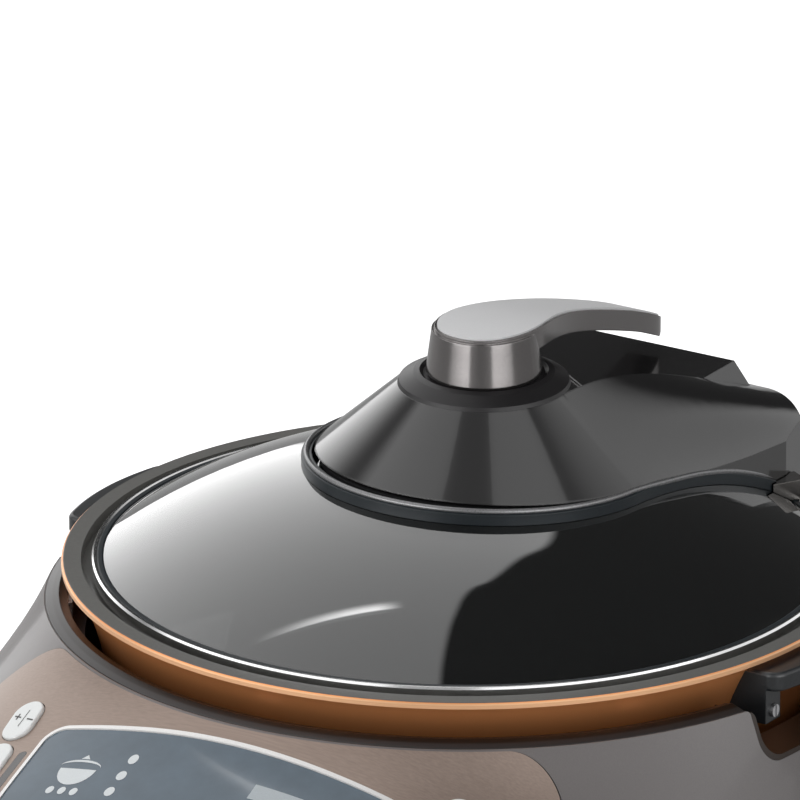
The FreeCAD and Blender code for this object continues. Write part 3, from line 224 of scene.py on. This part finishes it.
across = share(room_direction(*GLOW_START).cross(room_direction(*GLOW_END)).normalized())
along = combine("MULTIPLY", ease(to_right, GLOW_LEFT), ease(to_right, GLOW_RIGHT, 1.0, 0.0))
glow = combine("MULTIPLY", ease(across, GLOW_OUTER, 1.0, 0.0), ease(across, GLOW_INNER))
glow = combine("MULTIPLY", combine("MULTIPLY", glow, along), GLOW_LEVEL)
bright = combine("ADD", bright, combine("MULTIPLY", glow, ease(to_back, GLOW_BACK)))
rays = add(sky, "LightPath")
glossy = add(sky, "Mix", data_type="FLOAT", in_2=ROOM_FILL)
sky.links.new(rays.outputs["Is Glossy Ray"], glossy.inputs[0])
sky.links.new(bright, glossy.inputs[3])
clear = add(sky, "Mix", data_type="FLOAT", in_3=1.0)
sky.links.new(rays.outputs["Is Camera Ray"], clear.inputs[0])
sky.links.new(glossy.outputs[0], clear.inputs[2])
sky.links.new(clear.outputs[0], ground.inputs["Strength"])


LAMP_DISTANCE = 1.5


def soft_light(name, start, end, width, power):
    """Lamp that spans two directions in the room, turned to the pot's rim."""
    ends = [room_direction(*direction) * LAMP_DISTANCE for direction in (start, end)]
    middle, along = (ends[0] + ends[1]) / 2, (ends[1] - ends[0])
    lamp = bpy.data.lights.new(name, "AREA")
    lamp.shape = "RECTANGLE"
    lamp.size, lamp.size_y, lamp.energy = along.length, width, power
    across = middle.cross(along).normalized()
    x, z = along.normalized(), along.cross(across).normalized()
    if z.dot(middle) < 0:
        z = -z
    y = z.cross(x)
    obj = bpy.data.objects.new(name, lamp)
    obj.matrix_world = Matrix((x, y, z)).transposed().to_4x4()
    obj.location = middle + Vector((0.0, POT_Y, RIM_Z))
    obj.visible_camera = False
    scene.collection.objects.link(obj)
    return obj


for lamp in (soft_light("key_left", (-0.9, -0.5, 0.5), (-0.6, 0.5, 0.5), 0.8, 7.0),
             soft_light("fill_front", (-0.2, -0.8, 0.5), (0.5, -0.8, 0.5), 0.8, 4.0)):
    lamp.visible_glossy = False
for card in (soft_light("card_left", (-0.94, -0.30, 0.12), (-0.48, -0.88, 0.12), 0.5, 9.0),
             soft_light("card_right", (0.26, -0.96, 0.12), (0.86, -0.50, 0.12), 0.5, 7.0)):
    card.visible_diffuse = False


# Base plate and feet. The plate closes the shell from below and has a row of vents over
# the power board. It is black moulded plastic on four soft feet, held by six screws.
RELIEF = 0.0004
TONE_SPAN = (0.3, 0.7)


def surface(name, colour, roughness, metallic=0.0, grain=900.0, tone=0.08, rough_by=0.05,
            lift=0.02, stretch=(1.0, 1.0, 1.0), eased=0.0, **sockets):
    """Finish from one colour: a fine grain varies tone, roughness and relief, and edges may look eased."""
    material, tree, shader = blank_material(name)
    place = add(tree, "TexCoord")
    scale = add(tree, "Mapping")
    scale.inputs["Scale"].default_value = stretch
    noise = add(tree, "TexNoise", in_Scale=grain, in_Detail=4.0, in_Roughness=0.6)
    tree.links.new(place.outputs["Object"], scale.inputs["Vector"])
    tree.links.new(scale.outputs[0], noise.inputs["Vector"])
    ramp = add(tree, "ValToRGB")
    low = [c * (1 - tone) for c in colour]
    high = [min(c * (1 + tone), 1.0) for c in colour]
    for stop, position, shade in zip(ramp.color_ramp.elements, TONE_SPAN, (low, high)):
        stop.position, stop.color = position, (*shade, 1)
    tree.links.new(noise.outputs["Fac"], ramp.inputs[0])
    tree.links.new(ramp.outputs[0], shader.inputs["Base Color"])
    spread = add(tree, "MapRange", in_3=roughness - rough_by, in_4=roughness + rough_by)
    tree.links.new(noise.outputs["Fac"], spread.inputs[0])
    tree.links.new(spread.outputs[0], shader.inputs["Roughness"])
    bump = add(tree, "Bump", in_Strength=lift, in_Distance=RELIEF)
    tree.links.new(noise.outputs["Fac"], bump.inputs["Height"])
    tree.links.new(bump.outputs[0], shader.inputs["Normal"])
    if eased:
        rounded = add(tree, "Bevel", samples=4, in_Radius=eased)
        tree.links.new(rounded.outputs[0], bump.inputs["Normal"])
    shader.inputs["Metallic"].default_value = metallic
    for key, value in sockets.items():
        shader.inputs[key.replace("_", " ")].default_value = value
    return material


def finish_node(material, *names):
    """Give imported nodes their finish."""
    for name in names:
        node = nodes[name]
        if not node.material_slots:
            node.data.materials.append(material)
        for one in node.material_slots:
            one.material = material


black_plastic = surface("black_moulded", (0.018, 0.018, 0.019), 0.45, grain=1400, lift=0.08)
soft_rubber = surface("soft_rubber", (0.022, 0.022, 0.023), 0.75, grain=2200, lift=0.15)
plain_steel = surface("plain_steel", (0.56, 0.56, 0.57), 0.28, 1.0, grain=1600, tone=0.05)
finish_node(black_plastic, "base_plate")
finish_node(soft_rubber, "feet")
finish_node(plain_steel, "base_screws")


# Body shell. A glossy grey-brown moulding in one piece, with the round opening, two
# finger notches and the recess for the panel. A clear coat gives it its deep gloss.
body_gloss = surface("body_gloss", (0.150, 0.136, 0.134), 0.36, grain=2600, tone=0.10, lift=0.012,
                     Coat_Weight=0.3, Coat_Roughness=0.10)
finish_node(body_gloss, "body_shell")


# Mains inlet and boards. The inlet is a black moulded socket clipped into the back wall.
# The two circuit boards inside are green laminate.
laminate = surface("board_laminate", (0.02, 0.11, 0.05), 0.4, grain=500, tone=0.25)
finish_node(black_plastic, "mains_inlet")
finish_node(laminate, "power_board", "control_board")


# Well and its ring. The ring is a dark grey gloss moulding that laps the shell's edge, with
# painted shade on its inner face: near black inside a given radius, for the gap round the pot.
# The well is steel with a dark brown heat-proof paint, stepped near its mouth, with three
# sprung steel clips on its edge that centre the pot.
ring_gloss = surface("ring_gloss", (0.034, 0.031, 0.031), 0.30, grain=2400, eased=0.0005,
                     Specular_IOR_Level=0.3)
well_paint = surface("well_paint", (0.026, 0.016, 0.011), 0.30, grain=1200, tone=0.2, lift=0.04,
                     Specular_IOR_Level=0.25)
RING_EDGE_R = 0.1665
RING_EDGE_BLUR = 0.0006
RING_PAINTED_SHADE = (0.012, 0.008, 0.006)


def from_axis(tree):
    """Point counted from the pot's axis, and its distance from that axis."""
    place = add(tree, "TexCoord")
    point = add(tree, "VectorMath", operation="SUBTRACT", in_1=(0.0, POT_Y, 0.0))
    flat = add(tree, "VectorMath", operation="MULTIPLY", in_1=(1.0, 1.0, 0.0))
    radius = add(tree, "VectorMath", operation="LENGTH")
    tree.links.new(place.outputs["Object"], point.inputs[0])
    tree.links.new(point.outputs[0], flat.inputs[0])
    tree.links.new(flat.outputs[0], radius.inputs[0])
    return point.outputs[0], radius.outputs["Value"]


# Painted shade: inside RING_EDGE_R the ring is coloured near black for the shade in the gap round the pot.
tree = ring_gloss.node_tree
outer = add(tree, "MapRange", interpolation_type="SMOOTHSTEP",
            in_1=RING_EDGE_R - RING_EDGE_BLUR, in_2=RING_EDGE_R + RING_EDGE_BLUR)
tree.links.new(from_axis(tree)[1], outer.inputs[0])
shade = add(tree, "Mix", data_type="RGBA", in_6=(*RING_PAINTED_SHADE, 1))
tree.links.new(outer.outputs[0], shade.inputs[0])
tree.links.new(tree.nodes["Color Ramp"].outputs[0], shade.inputs[7])
tree.links.new(shade.outputs[2], tree.nodes["Principled BSDF"].inputs["Base Color"])
finish_node(ring_gloss, "well_ring")
finish_node(plain_steel, "rim_clips")
finish_node(well_paint, "well_liner", "pocket_right", "pocket_left")


# Heater. A cast aluminium plate on three posts with a tubular element in its underside,
# and a sprung sensor cap in its middle.
cast_alloy = surface("cast_alloy", (0.48, 0.48, 0.47), 0.5, 1.0, grain=420, tone=0.15, lift=0.2)
finish_node(cast_alloy, "heating_plate", "sensor_plunger")
finish_node(plain_steel, "heating_element", "plate_posts", "sensor_spring")


# Pot. Cast alloy: the outside has a copper-coloured coat with a polished rolled edge,
# and the flange, ledge and inside have a dark grey non-stick coat. The copper is painted
# bright near the flange and dark further down, as painted light and shade for the wall's
# fall into the gap under the flange.
COPPER_PAINTED_SHADE = (0.34, 0.12, 0.038)
COPPER_PAINTED_LIGHT = (0.95, 0.38, 0.14)
COPPER_EDGE = (0.92, 0.52, 0.28)
COATING = (0.115, 0.113, 0.105)
FLANGE_TOP = RIM_Z - 0.0012
WALL_MID = (0.1572, 0.1568, 0.1535, 0.1495, 0.1380, 0.1115, 0.0790)
WALL_MID_Z = (0.1890, 0.1836, 0.1780, 0.1680, 0.1310, 0.0960, 0.0790)
WIDEST = 0.2
EDGE_R = 0.1625
PAINTED_SHADE_Z, PAINTED_LIGHT_Z = RIM_Z - 0.030, RIM_Z - 0.008
COPPER_METAL = 0.45
COPPER_ROUGH, COATING_ROUGH = 0.33, 0.42
COATING_TONE = 0.15
COATING_GRAIN = 700.0
COATING_LIFT = 0.05
COATING_RELIEF = 0.0003


def pot_material():
    """Copper coat outside, painted bright at the top and dark lower down as painted light and shade, and
    dark coat inside, told apart by radius at each height.
    """
    material, tree, shader = blank_material("pot_coats")
    point, radius = from_axis(tree)
    parts = add(tree, "SeparateXYZ")
    tree.links.new(point, parts.inputs[0])
    height = add(tree, "MapRange", in_1=WALL_MID_Z[-1], in_2=WALL_MID_Z[0])
    tree.links.new(parts.outputs["Z"], height.inputs[0])
    middle = add(tree, "FloatCurve")
    span = WALL_MID_Z[0] - WALL_MID_Z[-1]
    wall_points = [((z - WALL_MID_Z[-1]) / span, r / WIDEST) for z, r in zip(WALL_MID_Z, WALL_MID)]
    curve_points(middle, wall_points[::-1])
    tree.links.new(height.outputs[0], middle.inputs["Value"])
    real = add(tree, "Math", operation="MULTIPLY", in_1=WIDEST)
    tree.links.new(middle.outputs[0], real.inputs[0])
    outside = add(tree, "Math", operation="GREATER_THAN")
    tree.links.new(radius, outside.inputs[0])
    tree.links.new(real.outputs[0], outside.inputs[1])
    under_top = add(tree, "Math", operation="LESS_THAN", in_1=FLANGE_TOP)
    tree.links.new(parts.outputs["Z"], under_top.inputs[0])
    copper = add(tree, "Math", operation="MULTIPLY")
    tree.links.new(outside.outputs[0], copper.inputs[0])
    tree.links.new(under_top.outputs[0], copper.inputs[1])
    edge = add(tree, "Math", operation="GREATER_THAN", in_1=EDGE_R)
    tree.links.new(radius, edge.inputs[0])
    # Painted light and shade: the copper runs from a dark shaded colour low on the wall to a bright lit
    # colour under the flange.
    shade_rise = add(tree, "MapRange", in_1=PAINTED_SHADE_Z, in_2=PAINTED_LIGHT_Z)
    tree.links.new(parts.outputs["Z"], shade_rise.inputs[0])
    shaded_wall = add(tree, "Mix", data_type="RGBA", in_6=(*COPPER_PAINTED_SHADE, 1), in_7=(*COPPER_PAINTED_LIGHT, 1))
    tree.links.new(shade_rise.outputs[0], shaded_wall.inputs[0])
    tint = add(tree, "Mix", data_type="RGBA", in_7=(*COPPER_EDGE, 1))
    tree.links.new(edge.outputs[0], tint.inputs[0])
    tree.links.new(shaded_wall.outputs[2], tint.inputs[6])
    place = add(tree, "TexCoord")
    noise = add(tree, "TexNoise", in_Scale=COATING_GRAIN, in_Detail=5.0)
    tree.links.new(place.outputs["Object"], noise.inputs["Vector"])
    darker, lighter = [[c * (1 + tone) for c in COATING] for tone in (-COATING_TONE, COATING_TONE)]
    coat = add(tree, "Mix", data_type="RGBA", in_6=(*darker, 1), in_7=(*lighter, 1))
    tree.links.new(noise.outputs["Fac"], coat.inputs[0])
    colour = add(tree, "Mix", data_type="RGBA")
    tree.links.new(copper.outputs[0], colour.inputs[0])
    tree.links.new(coat.outputs[2], colour.inputs[6])
    tree.links.new(tint.outputs[2], colour.inputs[7])
    tree.links.new(colour.outputs[2], shader.inputs["Base Color"])
    metal = add(tree, "Math", operation="MULTIPLY", in_1=COPPER_METAL)
    tree.links.new(copper.outputs[0], metal.inputs[0])
    tree.links.new(metal.outputs[0], shader.inputs["Metallic"])
    rough = add(tree, "MapRange", in_3=COATING_ROUGH, in_4=COPPER_ROUGH)
    tree.links.new(copper.outputs[0], rough.inputs[0])
    tree.links.new(rough.outputs[0], shader.inputs["Roughness"])
    bump = add(tree, "Bump", in_Strength=COATING_LIFT, in_Distance=COATING_RELIEF)
    tree.links.new(noise.outputs["Fac"], bump.inputs["Height"])
    tree.links.new(bump.outputs[0], shader.inputs["Normal"])
    return material


finish_node(pot_material(), "pot")


# Pot handles. Two black heat-proof mouldings with a fine grain, each held to the pot
# under its flange by two steel screws.
handle_black = surface("handle_black", (0.012, 0.014, 0.016), 0.34, grain=1100, tone=0.2, lift=0.1,
                       eased=0.0008)
finish_node(handle_black, "pot_handle_right", "pot_handle_left")
finish_node(plain_steel, "pot_handle_screws")


# Control panel. A thin insert of brushed metal with a warm rose-brown tint, let into the
# shell. The brushing runs from side to side.
panel_metal = surface("panel_brushed", (0.29, 0.225, 0.190), 0.36, 0.65, grain=260, tone=0.10,
                      rough_by=0.06, lift=0.05, stretch=(0.06, 5.0, 5.0), Anisotropic=0.5)
finish_node(panel_metal, "front_panel")


# Display. A dark blue-grey window in a pale satin frame, let into the panel, with a small
# dark indicator lens beside it.
frame_satin = surface("frame_satin", (0.74, 0.73, 0.72), 0.30, 0.5, grain=1500, tone=0.04)
window_blue = surface("window_blue", (0.085, 0.125, 0.165), 0.12, grain=60, tone=0.12, lift=0.0,
                      Coat_Weight=0.25)
finish_node(frame_satin, "display_frame")
finish_node(window_blue, "display_window")
lens_dark = surface("lens_dark", (0.035, 0.032, 0.033), 0.2, grain=900, tone=0.2, Coat_Weight=0.4)
finish_node(lens_dark, "panel_lens")


# Display marks. Thin films of ink laid on the window: a pot symbol, dots, a heat bar, pale
# fields, a clock readout and a row of squares. Places are in millimetres from the pot's
# axis, to the right of it and in front of it.
MM = 0.001
MARK_LIFT = 0.1
MARK_EDGE = 0.003
SLOPE_SHARE = 1.2
DIGIT_HALF, DIGIT_TALL, DIGIT_THICK, DIGIT_GAP = 3.4, 5.6, 0.7, 0.5
SEGMENTS = {"0": "abcdef", "3": "abgcd"}
POT_SIGN_X, POT_SIGN_Y = -57.0, 199.4
CLOCK_X, CLOCK_Y = 5.0, 222.0


def surface_height(tree, x, y):
    """Height of the surface below the point x, y."""
    hit = tree.ray_cast(Vector((x, y, 1.0)), Vector((0, 0, -1)))[0]
    return hit.z if hit else None


def ray_tree(name):
    """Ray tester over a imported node's mesh."""
    mesh = nodes[name].data
    points = [v.co.copy() for v in mesh.vertices]
    return BVHTree.FromPolygons(points, [tuple(f.vertices) for f in mesh.polygons])


def disc(x, reach, radius, steps=20):
    """Round mark in the panel's plan: across, and in front of the pot's axis."""
    turns = [2 * math.pi * k / steps for k in range(steps)]
    return [(x + radius * math.cos(t), reach + radius * SLOPE_SHARE * math.sin(t)) for t in turns]


def bar(x, reach, half, tall):
    """Rectangular mark about its middle."""
    corners = ((-half, -tall), (half, -tall), (half, tall), (-half, tall))
    return [(x + dx, reach + dy) for dx, dy in corners]


def arc(x, reach, wide, tall, start=0.0, end=180.0, steps=16):
    """Points along part of an ellipse."""
    turns = [math.radians(start + (end - start) * k / steps) for k in range(steps + 1)]
    return [(x + wide * math.cos(t), reach + tall * math.sin(t)) for t in turns]


def digit(sign, x, reach):
    """Figure made of seven bars, given by its sign."""
    half, tall = DIGIT_HALF, DIGIT_TALL
    places = {"a": (0, -tall, 1), "g": (0, 0, 1), "d": (0, tall, 1), "b": (half, -tall / 2, 0),
              "c": (half, tall / 2, 0), "f": (-half, -tall / 2, 0), "e": (-half, tall / 2, 0)}
    marks = []
    for dx, dy, flat in (places[name] for name in SEGMENTS[sign]):
        size = (half - DIGIT_GAP, DIGIT_THICK) if flat else (DIGIT_THICK, tall / 2 - DIGIT_GAP)
        marks.append(bar(x + dx, reach + dy, *size))
    return marks


def printed(name, outlines, target, material, body="root"):
    """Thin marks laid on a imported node, each given by its outline in the panel's plan."""
    tree = ray_tree(target)
    marks = bmesh.new()
    for outline in outlines:
        corners = [marks.verts.new((x * MM, POT_Y - reach * MM, 0.0)) for x, reach in outline]
        for face in tessellate_polygon([[v.co for v in corners]]):
            marks.faces.new([corners[k] for k in face])
    while True:
        long_edges = [e for e in marks.edges if e.calc_length() > MARK_EDGE]
        if not long_edges:
            break
        bmesh.ops.subdivide_edges(marks, edges=long_edges, cuts=1)
        bmesh.ops.triangulate(marks, faces=marks.faces[:])
    for v in marks.verts:
        v.co.z = surface_height(tree, v.co.x, v.co.y) + MARK_LIFT * MM
    mesh = bpy.data.meshes.new(name)
    marks.to_mesh(mesh)
    marks.free()
    obj = linked(bpy.data.objects.new(name, mesh), material)
    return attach(obj, body)


sign_x, lid_y = POT_SIGN_X, POT_SIGN_Y - 1.4
white_marks = [arc(sign_x, POT_SIGN_Y, 8.4, 9.0),
               arc(sign_x, lid_y, 9.4, -3.6) + arc(sign_x, lid_y, 9.4, -2.4)[::-1],
               [(sign_x - 2.0, lid_y - 4.1), (sign_x + 2.0, lid_y - 4.1), (sign_x, lid_y - 6.4)]]
white_marks += [disc(-62.7 + 5.55 * k, 211.8, 1.7) for k in range(3)]
white_marks += [disc(-36.0, 191.7 + 8.9 * k, 2.1) for k in range(4)]
for sign, offset in zip("0030", (-17.0, -7.0, 7.0, 17.0)):
    white_marks += digit(sign, CLOCK_X + offset, CLOCK_Y)
white_marks += [disc(CLOCK_X, CLOCK_Y + offset, 0.8) for offset in (-2.5, 2.5)]
print_white = surface("print_white", (0.80, 0.84, 0.86), 0.5, grain=1500, tone=0.03)
print_pale = surface("print_pale", (0.50, 0.55, 0.58), 0.5, grain=1500, tone=0.05)
print_red = surface("print_red", (0.50, 0.20, 0.16), 0.5, grain=1500, tone=0.05)
printed("display_marks", white_marks, "display_window", print_white)
fields = [bar(32.7, 195.0, 11.1, 3.6), bar(57.0, 206.0, 8.0, 3.4)]
fields += [bar(-60.0 + 20.0 * k, 238.0, 6.0, 2.4) for k in range(7)]
printed("display_fields", fields, "display_window", print_pale)
printed("display_heat_bar", [bar(sign_x, 221.0, 11.0, 2.6)], "display_window", print_red)


# Buttons. Four white gloss ovals that press in square to the panel, each with a small
# dark sign printed on it: plus and minus on the upper pair, a switch sign on the lower.
BUTTON_X, UPPER_Y = 101.0, 171.5
LOWER_X, LOWER_Y = 100.5, 195.5
LINE_HALF = 0.35
PLUS_HALF, PLUS_TALL = 1.8, 1.6
SIGN_OFFSET = 3.6
SIGN_LEAN = 0.35
DIVIDER_HALF, DIVIDER_TALL = 0.2, 4.6

button_white = surface("button_white", (0.86, 0.88, 0.88), 0.2, grain=1800, tone=0.02, Coat_Weight=0.3)
print_dark = surface("print_dark", (0.06, 0.06, 0.06), 0.5, grain=1500, tone=0.1)
for side, across in (("left", -1), ("right", 1)):
    upper, lower = f"button_{side}_upper", f"button_{side}_lower"
    finish_node(button_white, upper, lower)
    x = across * BUTTON_X
    plus_x, minus_x = x - SIGN_OFFSET, x + SIGN_OFFSET
    signs = [bar(plus_x, UPPER_Y, PLUS_HALF, LINE_HALF), bar(plus_x, UPPER_Y, LINE_HALF, PLUS_TALL),
             bar(minus_x, UPPER_Y, PLUS_HALF, LINE_HALF), bar(x, UPPER_Y, DIVIDER_HALF, DIVIDER_TALL)]
    leaning = [[(px, py - SIGN_LEAN * (px - x) * across) for px, py in sign] for sign in signs]
    printed(upper + "_marks", leaning, upper, print_dark, upper + "_key")
    x = across * LOWER_X
    ring = arc(x, LOWER_Y, 2.8, 2.5, -60.0, 240.0) + arc(x, LOWER_Y, 2.2, 1.9, 240.0, -60.0)
    switch_sign = [ring, bar(x, LOWER_Y - 2.2, 0.3, 1.5)]
    printed(lower + "_marks", switch_sign, lower, print_dark, lower + "_key")


# Hinge. A dark housing bolted to the shell behind the pot, a steel pin, and a cast arm
# that reaches over the flange to the lid's carrier.
hinge_paint = surface("hinge_paint", (0.030, 0.030, 0.032), 0.35, grain=1200, lift=0.08)
finish_node(hinge_paint, "hinge_housing", "hinge_arm")
finish_node(plain_steel, "hinge_pin", "hinge_screws")


# Lid glass. Domed toughened glass with a dark grey tint, so that the room shows in it more
# than the pot behind it. It sits in a blue-black seal inside a bright steel band.
GLASS_LOOK = {"Base Color": (0.10, 0.105, 0.105, 1), "Transmission Weight": 0.9, "IOR": 1.6,
              "Coat Weight": 1.0, "Coat IOR": 1.5, "Coat Roughness": 0.01}
GLASS_ROUGH = 0.02

lid_glass, tree, shader = blank_material("lid_glass")
glass_place = add(tree, "TexCoord")
waves = add(tree, "TexNoise", in_Scale=9.0, in_Detail=2.0)
tree.links.new(glass_place.outputs["Object"], waves.inputs["Vector"])
glass_rough = add(tree, "MapRange", in_3=0.0, in_4=GLASS_ROUGH)
tree.links.new(waves.outputs["Fac"], glass_rough.inputs[0])
tree.links.new(glass_rough.outputs[0], shader.inputs["Roughness"])
for key, value in GLASS_LOOK.items():
    shader.inputs[key].default_value = value
finish_node(lid_glass, "lid_glass")
seal_black = surface("seal_black", (0.010, 0.015, 0.019), 0.36, grain=1500, tone=0.15, lift=0.06,
                     eased=0.0006, Specular_IOR_Level=0.3)
band_bright = surface("band_bright", (0.88, 0.88, 0.88), 0.16, 1.0, grain=1600, tone=0.03)
finish_node(seal_black, "lid_seal", "fairing_trim")
finish_node(band_bright, "lid_band")


# Carrier and clamp. A black moulded carrier above the glass and a steel plate below it
# pinch the glass between them, held by three screws and the knob's bolt.
finish_node(black_plastic, "lid_carrier")
finish_node(plain_steel, "clamp_plate", "clamp_screws", "knob_bolt")


# Fairing. One gloss near-black moulding with cone, shoulders, valley and deck, which covers
# the carrier. A dark metal clip ends it on each side.
fairing_gloss = surface("fairing_gloss", (0.016, 0.0155, 0.016), 0.16, grain=2600, tone=0.10,
                        rough_by=0.03, lift=0.006, eased=0.0008, Coat_Weight=0.6, Coat_Roughness=0.03)
clip_metal = surface("clip_metal", (0.12, 0.115, 0.11), 0.22, 1.0, grain=1500, eased=0.0005)
finish_node(fairing_gloss, "lid_fairing")
finish_node(clip_metal, "fairing_clip_right", "fairing_clip_left")


# Bead along the fairing's foot: a rolled edge above the trim, coloured pale grey as a painted
# highlight for the light on the fairing's lower chamfer. It follows the fairing's plan from one
# clip round the front to the other, on the trim.
BEAD_R = 1.15
FOOT_R = 71.9
FOOT_Y = 55.0
SIDE_X, SIDE_Y = 74.6, 157.0
SIDE_STEP, SIDE_POINTS = 12.0, 8
FOOT_STEP = 6
BEAD_RISE = 0.5

trim_tree = ray_tree("fairing_trim")
side_plan = [(SIDE_X, SIDE_Y - SIDE_STEP * k) for k in range(SIDE_POINTS)]
foot_turns = [math.radians(a) for a in range(0, 180 + 1, FOOT_STEP)]
foot_plan = [(FOOT_R * math.cos(a), FOOT_Y - FOOT_R * math.sin(a)) for a in foot_turns]
plan = side_plan + foot_plan + [(-x, y) for x, y in side_plan[::-1]]
route = [(x * MM, y * MM, surface_height(trim_tree, x * MM, y * MM)) for x, y in plan]
route = [(x, y, z + BEAD_RISE * MM) for x, y, z in route if z is not None]
line = bpy.data.curves.new("fairing_bead", "CURVE")
line.dimensions = "3D"
line.bevel_depth = BEAD_R * MM
line.bevel_resolution = 3
spline = line.splines.new("NURBS")
spline.points.add(len(route) - 1)
for point, spot in zip(spline.points, route):
    point.co = (*spot, 1.0)
spline.order_u = 3
spline.use_endpoint_u = True
# Painted highlight: the bead's pale grey stands for the light caught by the fairing's chamfer.
bead_painted_highlight = surface("bead_painted_highlight", (0.20, 0.20, 0.205), 0.28, 0.4, grain=1800, tone=0.05)
bead = linked(bpy.data.objects.new("fairing_bead", line), bead_painted_highlight)
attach(bead, "lid")


# Collar, knob and lever. The collar is satin black. Knob and lever are one casting in a
# dark satin metal, with a pale satin plate let into the top.
collar_satin = surface("collar_satin", (0.012, 0.011, 0.012), 0.38, grain=1700, lift=0.08,
                       Specular_IOR_Level=0.3)
knob_metal = surface("knob_metal", (0.190, 0.180, 0.178), 0.16, 0.85, grain=1500, tone=0.08,
                     rough_by=0.03, eased=0.0006)
plate_satin = surface("plate_satin", (0.93, 0.93, 0.94), 0.34, grain=1900, tone=0.03, lift=0.03)
finish_node(collar_satin, "knob_collar")
finish_node(knob_metal, "knob_lever")
finish_node(plate_satin, "lever_top_plate")
